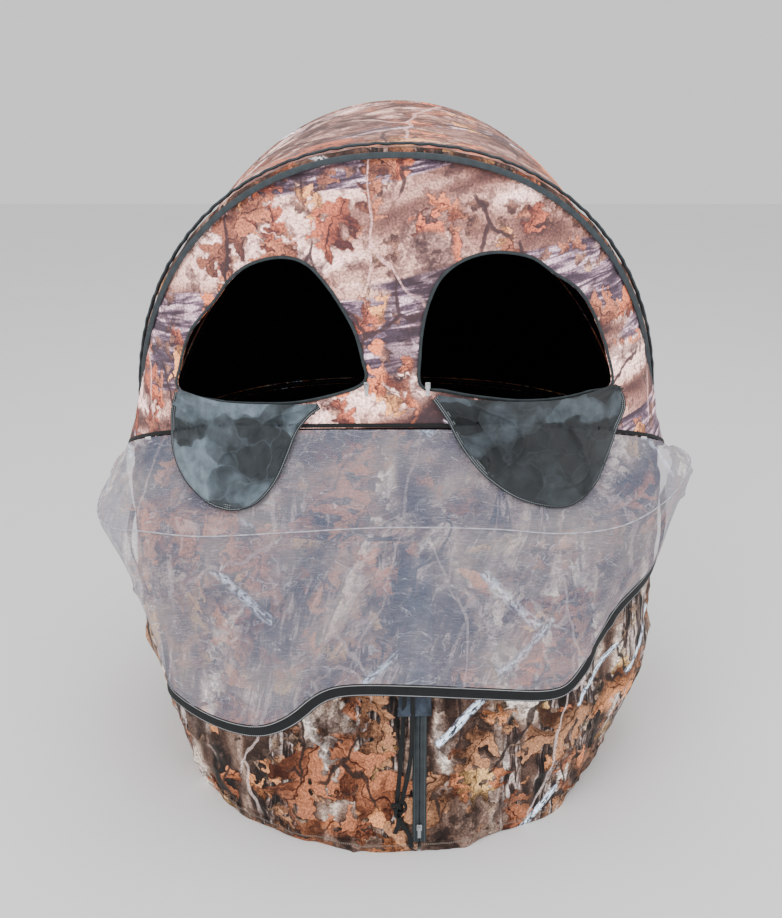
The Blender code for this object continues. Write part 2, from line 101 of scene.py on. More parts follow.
def hoop_at(hoop, t):
    wide, reach, n, phi = hoop
    return polar(wide * spow(np.cos(t), 2 / n), reach * np.maximum(np.sin(t), 0.0) ** (2 / n), phi)


def hoop_start(hoop, start=CLOTH_START):
    return math.asin((start / hoop[1]) ** (hoop[2] / 2))


def between(hoop_a, hoop_b, u, v):
    """Straight-lined cloth between two hoops; u runs from the right hub to the left, v from hoop to hoop."""
    a0, b0 = hoop_start(hoop_a), hoop_start(hoop_b)
    a = hoop_at(hoop_a, a0 + (math.pi - 2 * a0) * u)
    b = hoop_at(hoop_b, b0 + (math.pi - 2 * b0) * u)
    return a * (1 - v)[:, None] + b * v[:, None]


def unit(v):
    return v / np.maximum(np.linalg.norm(v, axis=-1, keepdims=True), 1e-12)


def normals_of(place, s, t, centre=HUB):
    """Outward normals of a surface given by its placing function."""
    e = 1e-3
    ds = place(np.minimum(s + e, 1), t) - place(np.maximum(s - e, 0), t)
    dt = place(s, np.minimum(t + e, 1)) - place(s, np.maximum(t - e, 0))
    n = unit(np.cross(ds, dt))
    away = np.sign(((place(s, t) - centre) * n).sum(-1))
    return n * np.where(away == 0, 1, away)[:, None]


def rough(points, scale, seed=0.0, octaves=2, warp=0.0):
    """Smooth noise, about -1 to 1, at each point; scale is bumps to the metre."""
    out = np.zeros(len(points))
    shift = Vector((seed * 7.31, seed * 3.17, seed * 1.93))
    for i, p in enumerate(points):
        q = Vector(p) * scale + shift
        if warp:
            q = q + noise.noise_vector(q * 0.7) * warp
        total, size, share = 0.0, 1.0, 0.0
        for _ in range(octaves):
            total += noise.noise(q * size) / size
            share += 1 / size
            size *= 2
        out[i] = total / share
    return out


def creased(points, scale, seed=0.0, warp=0.6, sharp=0.10):
    """Crumpled cloth: narrow ridges where two soft waves meet, 0 to 1."""
    return np.exp(-np.abs(rough(points, scale, seed, 1, warp)) / sharp)


def spline(points, s, closed=False):
    """Catmull-Rom curve through the points at each share s of its knots."""
    p = np.array(points, float)
    count = len(p)
    spans = count if closed else count - 1
    x = np.clip(s, 0, 1) * spans
    i = np.minimum(x.astype(int), spans - 1)
    f = (x - i)[:, None]

    def knot(k):
        return p[k % count] if closed else p[np.clip(k, 0, count - 1)]

    p0, p1, p2, p3 = knot(i - 1), knot(i), knot(i + 1), knot(i + 2)
    return 0.5 * (2 * p1 + (p2 - p0) * f + (2 * p0 - 5 * p1 + 4 * p2 - p3) * f ** 2
                  + (3 * p1 - p0 - 3 * p2 + p3) * f ** 3)


def even(points, count):
    """The same line with points an equal distance apart."""
    along = np.concatenate([[0], np.cumsum(np.linalg.norm(np.diff(points, axis=0), axis=1))])
    at = np.linspace(0, along[-1], count)
    return np.stack([np.interp(at, along, points[:, k]) for k in range(points.shape[1])], -1)


def smoothed(points, width):
    """Running mean down a line, with its ends held."""
    half = width // 2
    wide = np.vstack([np.repeat(points[:1], half, 0), points, np.repeat(points[-1:], half, 0)])
    return np.stack([np.convolve(wide[:, k], np.ones(width) / width, "valid") for k in range(points.shape[1])], -1)


def skirt_at(tau, z, out=0.0):
    """Point of the skirt at a plan angle, from the right side round through the back, and a height."""
    a, front, rear, n = (np.interp(z, SKIRT_LEVELS[:, 0], SKIRT_LEVELS[:, k]) for k in (1, 2, 3, 4))
    reach = np.where(np.sin(tau) < 0, front, rear)
    return np.stack([(a + out) * spow(np.cos(tau), 2 / n), (reach + out) * spow(np.sin(tau), 2 / n), z], -1)


def tau_at(x, z):
    """Plan angle where the front of the skirt reaches x."""
    low, high = np.full(np.shape(z), -math.pi), np.zeros(np.shape(z))
    for _ in range(40):
        mid = (low + high) / 2
        less = skirt_at(mid, z)[..., 0] < x
        low, high = np.where(less, mid, low), np.where(less, high, mid)
    return (low + high) / 2


def inside(x, z, outline):
    """Whether each point lies inside a closed outline."""
    hit = np.zeros(len(x), bool)
    for (x1, z1), (x2, z2) in zip(outline, np.roll(outline, -1, axis=0)):
        crosses = (z1 > z) != (z2 > z)
        with np.errstate(divide="ignore", invalid="ignore"):
            hit ^= crosses & (x < (x2 - x1) * (z - z1) / (z2 - z1) + x1)
    return hit


# ---- mesh making ----
def finish_mesh(name, bm, materials, uvs=None):
    """Turn a bmesh into an object of the scene, with its cloth coordinates in metres."""
    mesh = bpy.data.meshes.new(name)
    bm.to_mesh(mesh)
    bm.free()
    mesh.shade_smooth()
    if uvs is not None:
        layer = mesh.uv_layers.new(name="cloth")
        index = np.zeros(len(mesh.loops), np.int32)
        mesh.loops.foreach_get("vertex_index", index)
        layer.data.foreach_set("uv", uvs[index].astype(np.float32).ravel())
    obj = bpy.data.objects.new(name, mesh)
    bpy.context.scene.collection.objects.link(obj)
    for material in materials:
        mesh.materials.append(material)
    return obj


def grid_bmesh(nu, nv):
    """A flat grid and each vertex's share across and along it."""
    bm = bmesh.new()
    bmesh.ops.create_grid(bm, x_segments=nu, y_segments=nv, size=0.5)
    bm.verts.ensure_lookup_table()
    flat = np.array([v.co[:2] for v in bm.verts])
    low, high = flat.min(0), flat.max(0)
    s, t = ((flat - low) / (high - low)).T
    order = np.lexsort((np.round(s, 6), np.round(t, 6)))
    return bm, s, t, order


def metres(points, order, nu, nv):
    """Cloth coordinates: arc length across from the middle, and along from the first row."""
    grid = points[order].reshape(nv + 1, nu + 1, 3)
    across = np.zeros((nv + 1, nu + 1))
    across[:, 1:] = np.cumsum(np.linalg.norm(np.diff(grid, axis=1), axis=2), axis=1)
    across -= across[:, [nu // 2]]
    along = np.zeros((nv + 1, nu + 1))
    along[1:] = np.cumsum(np.linalg.norm(np.diff(grid, axis=0), axis=2), axis=0)
    out = np.zeros((len(points), 2))
    out[order] = np.stack([across, along], -1).reshape(-1, 2)
    return out


def face_out(bm, normals):
    """Turn the whole sheet so that its faces look outwards."""
    bm.normal_update()
    bm.verts.ensure_lookup_table()
    turn = sum(face.normal.dot(Vector(normals[face.verts[0].index])) for face in bm.faces)
    if turn < 0:
        bmesh.ops.reverse_faces(bm, faces=bm.faces)


def thicken(obj, thick, offset=-1.0, lining=True):
    solid = obj.modifiers.new("cloth thickness", "SOLIDIFY")
    solid.thickness = thick
    solid.offset = offset
    solid.use_even_offset = False
    if lining:
        solid.material_offset = 1
    return obj


def cloth(name, place, size, materials, thick=0.0010, height=None, uv=None, centre=HUB, cut=None, trim=None):
    """A sheet: a grid laid by a placing function, wrinkled along its normals, then given its thickness."""
    nu, nv = size
    bm, s, t, order = grid_bmesh(nu, nv)
    points = place(s, t)
    normals = normals_of(place, s, t, centre)
    if height is not None:
        points = points + normals * height(points, s, t)[:, None]
    uvs = metres(points, order, nu, nv) if uv is None else uv(points, s, t)
    if trim is not None:
        points = trim(points, normals)
    for vert, point in zip(bm.verts, points):
        vert.co = point
    face_out(bm, normals)
    if cut is not None:
        middles = np.array([face.calc_center_median() for face in bm.faces])
        gone = [face for face, out in zip(list(bm.faces), cut(middles)) if out]
        marks = bm.verts.layers.int.new("mark")
        for i, vert in enumerate(bm.verts):
            vert[marks] = i
        bmesh.ops.delete(bm, geom=gone, context="FACES")
        kept = np.array([vert[marks] for vert in bm.verts])
        uvs, points, normals = uvs[kept], points[kept], normals[kept]
    obj = finish_mesh(name, bm, materials, uvs)
    return thicken(obj, thick, lining=len(materials) > 1)


def slab(half_width, half_height, count=12, square=0.55):
    """Rounded band section, as sideways and outward distances."""
    a = np.linspace(0, 2 * math.pi, count + 1)
    return np.stack([half_width * spow(np.cos(a), square), half_height * spow(np.sin(a), square)], -1)


def band(name, path, side, up, section, materials, ring=False):
    """A trim swept along a line: a closed section carried by its sideways and outward directions."""
    nu, nv = len(path) - 1 + ring, len(section) - 1
    bm, s, t, order = grid_bmesh(nu, nv)
    i = np.round(s * nu).astype(int) % len(path)
    j = np.round(t * nv).astype(int)
    points = path[i] + side[i] * section[j, :1] + up[i] * section[j, 1:]
    steps = np.linalg.norm(np.diff(np.vstack([path, path[:1]]), axis=0), axis=1)
    along = np.concatenate([[0], np.cumsum(steps)])
    uvs = np.stack([along[np.round(s * nu).astype(int)], section[j, 0]], -1)
    for vert, point in zip(bm.verts, points):
        vert.co = point
    marks = bm.verts.layers.int.new("mark")
    for k, vert in enumerate(bm.verts):
        vert[marks] = k
    layer = bm.loops.layers.uv.new("cloth")
    for face in bm.faces:
        for loop in face.loops:
            loop[layer].uv = uvs[loop.vert[marks]]
    bmesh.ops.remove_doubles(bm, verts=bm.verts, dist=1e-6)
    if not ring:
        bmesh.ops.holes_fill(bm, edges=[e for e in bm.edges if e.is_boundary], sides=0)
    bmesh.ops.recalc_face_normals(bm, faces=bm.faces)
    return finish_mesh(name, bm, materials)


def frames_along(path, up_hint, ring=False):
    """Sideways and outward directions along a line, square to it."""
    if ring:
        run = unit(np.roll(path, -1, axis=0) - np.roll(path, 1, axis=0))
    else:
        run = unit(np.gradient(path, axis=0))
    up = unit(up_hint - run * (up_hint * run).sum(-1, keepdims=True))
    return np.cross(run, up), up


def bend(obj, body_a, body_b, weights):
    """Bake the cloth's placing into its mesh; the bodies and the weights are not used."""
    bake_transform(obj)


def mesh_points(obj):
    flat = np.zeros(len(obj.data.vertices) * 3, np.float32)
    obj.data.vertices.foreach_get("co", flat)
    return flat.reshape(-1, 3).astype(float)


def hub_angle(points):
    return np.degrees(np.arctan2(points[:, 2] - HUB_Z, -points[:, 1])) % 360


def share(value, low, high):
    """0 to 1 between two limits, eased."""
    x = np.clip((value - low) / (high - low), 0, 1)
    return x * x * (3 - 2 * x)


# ---- node wiring ----
class Wiring:
    """Short hand for building one node tree."""

    def __init__(self, tree):
        self.tree = tree

    def put(self, socket, value):
        if isinstance(value, bpy.types.NodeSocket):
            self.tree.links.new(value, socket)
        elif isinstance(value, bpy.types.Node):
            self.tree.links.new(value.outputs[0], socket)
        else:
            socket.default_value = value

    def add(self, kind, inputs=(), **settings):
        node = self.tree.nodes.new("ShaderNode" + kind)
        for key, value in settings.items():
            setattr(node, key, value)
        for key, value in (inputs.items() if isinstance(inputs, dict) else enumerate(inputs)):
            if value is not None:
                self.put(node.inputs[key], value)
        return node

    def math(self, operation, *values, clamp=False):
        return self.add("Math", values, operation=operation, use_clamp=clamp).outputs[0]

    def vector(self, operation, *values):
        return self.add("VectorMath", values, operation=operation).outputs[0]

    def scaled(self, vector, x, y, z=1.0):
        return self.vector("MULTIPLY", vector, (x, y, z))

    def mix(self, factor, a, b, blend="MIX"):
        return self.add("Mix", {0: factor, 6: a, 7: b}, data_type="RGBA", blend_type=blend).outputs[2]

    def ease(self, value, low, high, to_low=0.0, to_high=1.0):
        node = self.add("MapRange", {0: value, 1: low, 2: high, 3: to_low, 4: to_high},
                        interpolation_type="SMOOTHSTEP")
        return node.outputs[0]

    def ramp(self, factor, stops, interpolation="LINEAR"):
        node = self.add("ValToRGB", [factor])
        node.color_ramp.interpolation = interpolation
        elements = node.color_ramp.elements
        for k, (at, colour) in enumerate(stops):
            element = elements[k] if k < 2 else elements.new(at)
            element.position = at
            element.color = (*colour, 1.0)
        return node.outputs[0]

    def noise(self, vector, scale, detail=2.0, roughness=0.5, distortion=0.0):
        node = self.add("TexNoise", {"Vector": vector, "Scale": scale, "Detail": detail, "Roughness": roughness,
                                     "Distortion": distortion}, noise_dimensions="2D")
        return node

    def cells(self, vector, feature="F1", randomness=1.0):
        return self.add("TexVoronoi", {"Vector": vector, "Scale": 1.0, "Randomness": randomness},
                        voronoi_dimensions="2D", feature=feature)

    def group(self, tree, **values):
        node = self.tree.nodes.new("ShaderNodeGroup")
        node.node_tree = tree
        for key, value in values.items():
            self.put(node.inputs[key.replace("_", " ")], value)
        return node


def new_group(name, inputs, outputs):
    tree = bpy.data.node_groups.new(name, "ShaderNodeTree")
    for label, kind, default in inputs:
        socket = tree.interface.new_socket(label, in_out="INPUT", socket_type="NodeSocket" + kind)
        if default is not None:
            socket.default_value = default
    for label, kind in outputs:
        tree.interface.new_socket(label, in_out="OUTPUT", socket_type="NodeSocket" + kind)
    wires = Wiring(tree)
    return tree, wires, wires.tree.nodes.new("NodeGroupInput"), wires.tree.nodes.new("NodeGroupOutput")


def leaf_group():
    """Fallen leaves, one to a cell: lobed outline, midrib and side veins."""
    tree, w, start, end = new_group("fallen_leaves", [
        ("Vector", "Vector", None), ("Cell", "Float", 0.12), ("Seed", "Float", 0.0), ("Lobes", "Float", 9.0),
        ("Width", "Float", 0.5), ("Share", "Float", 0.7)],
        [("Mask", "Float"), ("Tone", "Float"), ("Shade", "Float"), ("Edge", "Float")])
    cell = w.math("DIVIDE", 1.0, start.outputs["Cell"])
    placed = w.add("VectorMath", {0: start.outputs["Vector"], 3: cell}, operation="SCALE").outputs[0]
    placed = w.vector("ADD", placed, w.add("CombineXYZ", [start.outputs["Seed"], start.outputs["Seed"], 0.0]))
    wobble = w.vector("SUBTRACT", w.noise(placed, 2.2, 3.0, 0.6).outputs["Color"], (0.5, 0.5, 0.5))
    placed = w.vector("ADD", placed, w.vector("MULTIPLY", wobble, (0.55, 0.55, 0.0)))
    cells = w.cells(placed, randomness=0.9)
    local = w.vector("SUBTRACT", placed, cells.outputs["Position"])
    pick = w.add("SeparateColor", [cells.outputs["Color"]])
    turned = w.add("VectorRotate", {"Vector": local, "Angle": w.math("MULTIPLY", pick.outputs[0], 6.283)},
                   rotation_type="Z_AXIS")
    axes = w.add("SeparateXYZ", [turned])
    x = w.math("DIVIDE", axes.outputs[0], 0.62)
    y = w.math("ABSOLUTE", w.math("DIVIDE", axes.outputs[1], 0.62))
    full = w.math("SQRT", w.math("MAXIMUM", w.math("SUBTRACT", 1.0, w.math("MULTIPLY", x, x)), 0.0))
    swept = w.math("ADD", x, w.math("MULTIPLY", y, -0.7))
    lobes = w.math("MULTIPLY_ADD", w.math("COSINE", w.math("MULTIPLY", swept, start.outputs["Lobes"])), 0.40, 0.60)
    half = w.math("MULTIPLY", w.math("MULTIPLY", full, lobes), w.math("MULTIPLY", start.outputs["Width"], 1.5))
    depth = w.math("SUBTRACT", half, y)
    there = w.math("LESS_THAN", pick.outputs[2], start.outputs["Share"])
    w.put(end.inputs["Mask"], w.math("MULTIPLY", w.ease(depth, 0.0, 0.03), there))
    w.put(end.inputs["Edge"], w.math("MULTIPLY", w.ease(depth, -0.16, 0.0), there))
    w.put(end.inputs["Tone"], pick.outputs[1])
    rib = w.ease(y, 0.035, 0.0)
    vein = w.math("PINGPONG", w.math("MULTIPLY_ADD", y, -0.9, x), 0.11)
    vein = w.math("MULTIPLY", w.ease(vein, 0.02, 0.0), 0.55)
    lift = w.ease(axes.outputs[1], -0.25, 0.25, 0.30, 0.75)
    crinkle = w.noise(placed, 5.0, 3.0, 0.6).outputs[0]
    shade = w.math("SUBTRACT", w.math("MULTIPLY_ADD", crinkle, 0.7, w.math("SUBTRACT", lift, 0.35)),
                   w.math("MULTIPLY", w.math("MAXIMUM", rib, vein), 0.38))
    w.put(end.inputs["Shade"], shade)
    return tree


def bark_group():
    """Broken, fibrous bark running down the second axis."""
    tree, w, start, end = new_group("tree_bark", [("Vector", "Vector", None), ("Seed", "Float", 0.0)],
                                    [("Ridge", "Float"), ("Trunk", "Float")])
    moved = w.vector("ADD", start.outputs["Vector"], w.add("CombineXYZ", [start.outputs["Seed"]] * 2 + [0.0]))
    fine = w.noise(w.scaled(moved, 95.0, 13.0), 1.0, 4.0, 0.65, 0.8).outputs[0]
    broad = w.noise(w.scaled(moved, 30.0, 5.0), 1.0, 2.0, 0.5, 1.5).outputs[0]
    ridge = w.ease(w.math("MULTIPLY_ADD", broad, 0.45, w.math("MULTIPLY", fine, 0.65)), 0.40, 0.68)
    w.put(end.inputs["Ridge"], ridge)
    trunk = w.noise(w.scaled(moved, 5.5, 0.9), 1.0, 3.0, 0.45, 0.25).outputs[0]
    w.put(end.inputs["Trunk"], w.ease(trunk, 0.505, 0.52))
    return tree


def twig_group():
    """Thin branches: the lines between large warped cells, broken into lengths."""
    tree, w, start, end = new_group("twigs", [
        ("Vector", "Vector", None), ("Scale", "Float", 5.0), ("Thick", "Float", 0.02), ("Seed", "Float", 0.0)],
        [("Mask", "Float")])
    placed = w.add("VectorMath", {0: start.outputs["Vector"], 3: start.outputs["Scale"]}, operation="SCALE").outputs[0]
    placed = w.vector("ADD", placed, w.add("CombineXYZ", [start.outputs["Seed"]] * 2 + [0.0]))
    wobble = w.vector("SUBTRACT", w.noise(placed, 1.7, 3.0, 0.6).outputs["Color"], (0.5, 0.5, 0.5))
    warped = w.vector("ADD", placed, w.vector("MULTIPLY", wobble, (0.35, 0.35, 0.0)))
    gap = w.cells(warped, "DISTANCE_TO_EDGE").outputs["Distance"]
    line = w.math("SUBTRACT", 1.0, w.ease(w.math("DIVIDE", gap, start.outputs["Thick"]), 0.45, 1.0))
    broken = w.ease(w.noise(placed, 1.3, 1.0).outputs[0], 0.47, 0.53)
    w.put(end.inputs["Mask"], w.math("MULTIPLY", line, broken))
    return tree


def stick_group():
    """Short pale birch sticks lying at a slant, with dark flecks."""
    tree, w, start, end = new_group("birch_sticks", [
        ("Vector", "Vector", None), ("Seed", "Float", 0.0), ("Share", "Float", 0.4)],
        [("Mask", "Float"), ("Fleck", "Float"), ("Round", "Float")])
    turned = w.add("VectorRotate", {"Vector": start.outputs["Vector"], "Angle": -0.75}, rotation_type="Z_AXIS")
    placed = w.scaled(turned, 5.0, 10.0)
    placed = w.vector("ADD", placed, w.add("CombineXYZ", [start.outputs["Seed"]] * 2 + [0.0]))
    cells = w.cells(placed, randomness=0.8)
    axes = w.add("SeparateXYZ", [w.vector("SUBTRACT", placed, cells.outputs["Position"])])
    pick = w.add("SeparateColor", [cells.outputs["Color"]])
    across = w.math("ABSOLUTE", w.math("MULTIPLY_ADD", axes.outputs[0], 0.12, axes.outputs[1]))
    side = w.ease(across, 0.098, 0.072)
    length = w.ease(w.math("ABSOLUTE", axes.outputs[0]), 0.42, 0.38)
    there = w.math("LESS_THAN", pick.outputs[1], start.outputs["Share"])
    w.put(end.inputs["Mask"], w.math("MULTIPLY", w.math("MULTIPLY", side, length), there))
    fleck = w.noise(w.scaled(turned, 60.0, 170.0), 1.0, 2.0, 0.6).outputs[0]
    w.put(end.inputs["Fleck"], w.ease(fleck, 0.50, 0.58))
    w.put(end.inputs["Round"], w.ease(across, 0.098, 0.0, 0.35, 1.0))
    return tree


LEAF_TONES = [(0.0, (0.30, 0.085, 0.032)), (0.20, (0.47, 0.155, 0.058)), (0.40, (0.17, 0.068, 0.038)),
              (0.56, (0.52, 0.21, 0.085)), (0.72, (0.30, 0.135, 0.068)), (0.90, (0.60, 0.37, 0.16))]
GREY_TONES = [(0.0, (0.115, 0.075, 0.058)), (0.35, (0.24, 0.165, 0.125)), (0.65, (0.36, 0.17, 0.09)),
              (0.85, (0.44, 0.35, 0.26))]


def camouflage_group():
    """Printed woodland: blurred ground, bark, litter, oak leaves, twigs and birch sticks."""
    tree, w, start, end = new_group("woodland_print", [
        ("Vector", "Vector", None), ("Seed", "Float", 0.0), ("Log", "Float", 0.0), ("Pale", "Float", 0.0),
        ("Haze", "Float", 0.0), ("Haze Colour", "Color", (0.46, 0.36, 0.38, 1.0)), ("Leaves", "Float", 0.7),
        ("Depth", "Float", 1.4), ("Gain", "Float", 1.6)],
        [("Color", "Color"), ("Fade", "Float")])
    flat, seed = start.outputs["Vector"], start.outputs["Seed"]
    swapped = w.add("SeparateXYZ", [flat])
    lying = w.add("CombineXYZ", [swapped.outputs[1], swapped.outputs[0], 0.0])
    run = w.add("Mix", {0: start.outputs["Log"], 4: flat, 5: lying}, data_type="VECTOR").outputs[1]
    # blurred ground and sky between the trunks
    soft = w.noise(w.scaled(run, 9.0, 3.0), 1.0, 2.0, 0.45, 0.6).outputs[0]
    soft = w.math("MULTIPLY_ADD", start.outputs["Pale"], 0.13, soft)
    ground = w.ramp(soft, [(0.34, (0.040, 0.023, 0.018)), (0.45, (0.13, 0.072, 0.052)), (0.52, (0.30, 0.19, 0.145)),
                           (0.60, (0.56, 0.41, 0.33)), (0.70, (0.78, 0.62, 0.53))])
    spots = w.noise(flat, 46.0, 2.0, 0.5).outputs[0]
    ground = w.mix(w.ease(spots, 0.52, 0.66, 0.0, 0.6), ground, (0.17, 0.10, 0.075, 1.0))
    # bark
    bark = w.group(BARK, Vector=run, Seed=seed)
    wood = w.ramp(bark.outputs["Ridge"], [(0.0, (0.016, 0.011, 0.011)), (0.42, (0.085, 0.052, 0.043)),
                                          (0.75, (0.24, 0.155, 0.125)), (1.0, (0.52, 0.40, 0.35))])
    wood = w.mix(w.math("MULTIPLY", start.outputs["Log"], 0.72), wood,
                 w.ramp(bark.outputs["Ridge"], [(0.0, (0.09, 0.075, 0.10)), (0.5, (0.23, 0.19, 0.235)),
                                                (1.0, (0.56, 0.49, 0.52))]))
    colour = w.mix(bark.outputs["Trunk"], ground, wood)
    # litter of small leaves, then middling and large ones
    for k, (cell, lobes, width, share_of, tones, cover) in enumerate((
            (0.034, 5.0, 0.50, 0.50, GREY_TONES, 0.85), (0.060, 8.0, 0.46, 0.50, LEAF_TONES, 0.95),
            (0.105, 9.0, 0.52, 0.52, LEAF_TONES, 1.0), (0.185, 10.5, 0.50, 0.42, LEAF_TONES, 1.0))):
        amount = w.math("MULTIPLY", start.outputs["Leaves"], share_of / 0.6)
        leaf = w.group(LEAF, Vector=flat, Cell=cell, Seed=w.math("ADD", seed, 3.7 * k + 1.3), Lobes=lobes,
                       Width=width, Share=amount)
        dark = w.math("MULTIPLY", leaf.outputs["Edge"], 0.55 * cover)
        colour = w.mix(dark, colour, w.mix(1.0, colour, (0.22, 0.18, 0.18, 1.0), "MULTIPLY"))
        tint = w.ramp(leaf.outputs["Tone"], tones, "CONSTANT")
        lit = w.mix(w.ease(leaf.outputs["Shade"], 0.10, 0.75), w.mix(1.0, tint, (0.20, 0.16, 0.14, 1.0), "MULTIPLY"),
                    w.mix(0.24, tint, (0.85, 0.50, 0.32, 1.0)))
        drift = w.ease(w.noise(flat, 6.5 - k, 1.0).outputs[0], 0.46 - 0.01 * k, 0.49)
        colour = w.mix(w.math("MULTIPLY", w.math("MULTIPLY", leaf.outputs["Mask"], drift), cover), colour, lit)
    # branches and sticks
    shadow = w.group(TWIG, Vector=w.scaled(flat, 1.0, 0.6), Scale=6.0, Thick=0.026, Seed=w.math("ADD", seed, 4.1))
    colour = w.mix(w.math("MULTIPLY", shadow.outputs[0], 0.85), colour, (0.045, 0.026, 0.022, 1.0))
    branch = w.group(TWIG, Vector=w.scaled(flat, 1.0, 0.45), Scale=4.3, Thick=0.017, Seed=w.math("ADD", seed, 9.4))
    colour = w.mix(w.math("MULTIPLY", branch.outputs[0], 0.7), colour, (0.58, 0.43, 0.38, 1.0))
    stick = w.group(STICK, Vector=flat, Seed=seed, Share=w.math("MULTIPLY_ADD", start.outputs["Log"], -0.10, 0.14))
    birch = w.mix(stick.outputs["Fleck"], (0.80, 0.78, 0.80, 1.0), (0.10, 0.09, 0.10, 1.0))
    birch = w.mix(stick.outputs["Round"], (0.16, 0.13, 0.14, 1.0), birch)
    colour = w.mix(stick.outputs["Mask"], colour, birch)
    # fine printed grain, then the haze mix; on the hood and roof prints this haze, with their paler ground and higher
    # gain, is painted light that pales the print as if lit from above
    grain = w.noise(flat, 210.0, 3.0, 0.7).outputs[0]
    colour = w.mix(0.55, colour, w.mix(1.0, colour, w.ramp(grain, [(0.32, (0.30, 0.28, 0.27)), (0.68, (1.7, 1.7, 1.7))]),
                                       "MULTIPLY"))
    deep = w.add("Gamma", [colour, start.outputs["Depth"]])
    colour = w.add("VectorMath", {0: deep, 3: start.outputs["Gain"]}, operation="SCALE").outputs[0]
    colour = w.mix(start.outputs["Haze"], colour, start.outputs["Haze Colour"])
    w.put(end.inputs["Color"], colour)
    w.put(end.inputs["Fade"], grain)
    return tree


def weave_group():
    """Plain weave: raised threads crossing at right angles; pitch in metres."""
    tree, w, start, end = new_group("plain_weave", [("Vector", "Vector", None), ("Pitch", "Float", 0.0012)],
                                    [("Height", "Float"), ("Threads", "Float")])
    placed = w.add("VectorMath", {0: start.outputs["Vector"], 3: w.math("DIVIDE", 3.14159, start.outputs["Pitch"])},
                   operation="SCALE").outputs[0]
    axes = w.add("SeparateXYZ", [placed])
    warp = w.math("ABSOLUTE", w.math("SINE", axes.outputs[0]))
    weft = w.math("ABSOLUTE", w.math("SINE", axes.outputs[1]))
    w.put(end.inputs["Height"], w.math("MULTIPLY", warp, weft))
    w.put(end.inputs["Threads"], w.math("MAXIMUM", w.ease(warp, 0.55, 0.25), w.ease(weft, 0.55, 0.25)))
    return tree


def stitch_group():
    """A row of lock stitches at a chosen distance across a trim."""
    tree, w, start, end = new_group("stitch_row", [
        ("Vector", "Vector", None), ("Across", "Float", 0.01), ("Length", "Float", 0.0042),
        ("Thread", "Float", 0.0006)], [("Mask", "Float"), ("Pucker", "Float")])
    axes = w.add("SeparateXYZ", [start.outputs["Vector"]])
    away = w.math("ABSOLUTE", w.math("SUBTRACT", axes.outputs[1], start.outputs["Across"]))
    dash = w.math("FRACT", w.math("DIVIDE", axes.outputs[0], start.outputs["Length"]))
    on = w.math("LESS_THAN", dash, 0.74)
    near = w.ease(w.math("DIVIDE", away, start.outputs["Thread"]), 1.25, 0.75)
    w.put(end.inputs["Mask"], w.math("MULTIPLY", near, on))
    w.put(end.inputs["Pucker"], w.ease(w.math("DIVIDE", away, start.outputs["Thread"]), 4.0, 0.0))
    return tree


LEAF, BARK, TWIG, STICK = leaf_group(), bark_group(), twig_group(), stick_group()
PRINT, WEAVE, STITCH = camouflage_group(), weave_group(), stitch_group()


def new_material(name):
    material = bpy.data.materials.new(name)
    material.use_nodes = True
    tree = material.node_tree
    wires = Wiring(tree)
    return material, wires, tree.nodes["Principled BSDF"]


def cloth_vector(w):
    return w.add("UVMap", uv_map="cloth").outputs[0]


def bumped(w, shader, height, strength, distance, normal=None):
    inputs = {"Height": height, "Strength": strength, "Distance": distance}
    if normal is not None:
        inputs["Normal"] = normal
    bump = w.add("Bump", inputs)
    w.put(shader.inputs["Normal"], bump.outputs[0])
    return bump.outputs[0]


def printed_cloth(name, stretch=(1.0, 1.0), seed=0.0, log=0.0, pale=0.0, haze=0.0, haze_colour=(0.46, 0.36, 0.38),
                  leaves=0.7, gain=(1.0, 1.0, 1.0), hem=None, depth=1.45, lift=1.85):
    material, w, shader = new_material(name)
    flat = cloth_vector(w)
    drawn = w.group(PRINT, Vector=w.scaled(flat, *stretch), Seed=seed, Log=log, Pale=pale, Haze=haze,
                    Haze_Colour=(*haze_colour, 1.0), Leaves=leaves, Depth=depth, Gain=lift)
    colour = w.mix(1.0, drawn.outputs["Color"], (*gain, 1.0), "MULTIPLY")
    weave = w.group(WEAVE, Vector=flat, Pitch=0.0011)
    height = w.math("MULTIPLY", weave.outputs["Height"], 0.35)
    creases = w.noise(flat, 38.0, 3.0, 0.6, 0.8).outputs[0]
    height = w.math("ADD", height, w.math("MULTIPLY", creases, 2.6))
    if hem:
        for across in hem:
            row = w.group(STITCH, Vector=flat, Across=across)
            colour = w.mix(w.math("MULTIPLY", row.outputs["Mask"], 0.8), colour, (0.30, 0.24, 0.20, 1.0))
            height = w.math("SUBTRACT", height, w.math("MULTIPLY", row.outputs["Pucker"], 1.5))
    w.put(shader.inputs["Base Color"], colour)
    w.put(shader.inputs["Roughness"], w.ease(drawn.outputs["Fade"], 0.3, 0.7, 0.70, 0.84))
    shader.inputs["Sheen Weight"].default_value = 0.04
    shader.inputs["Specular IOR Level"].default_value = 0.25
    bumped(w, shader, height, 0.5, 0.0009)
    return material


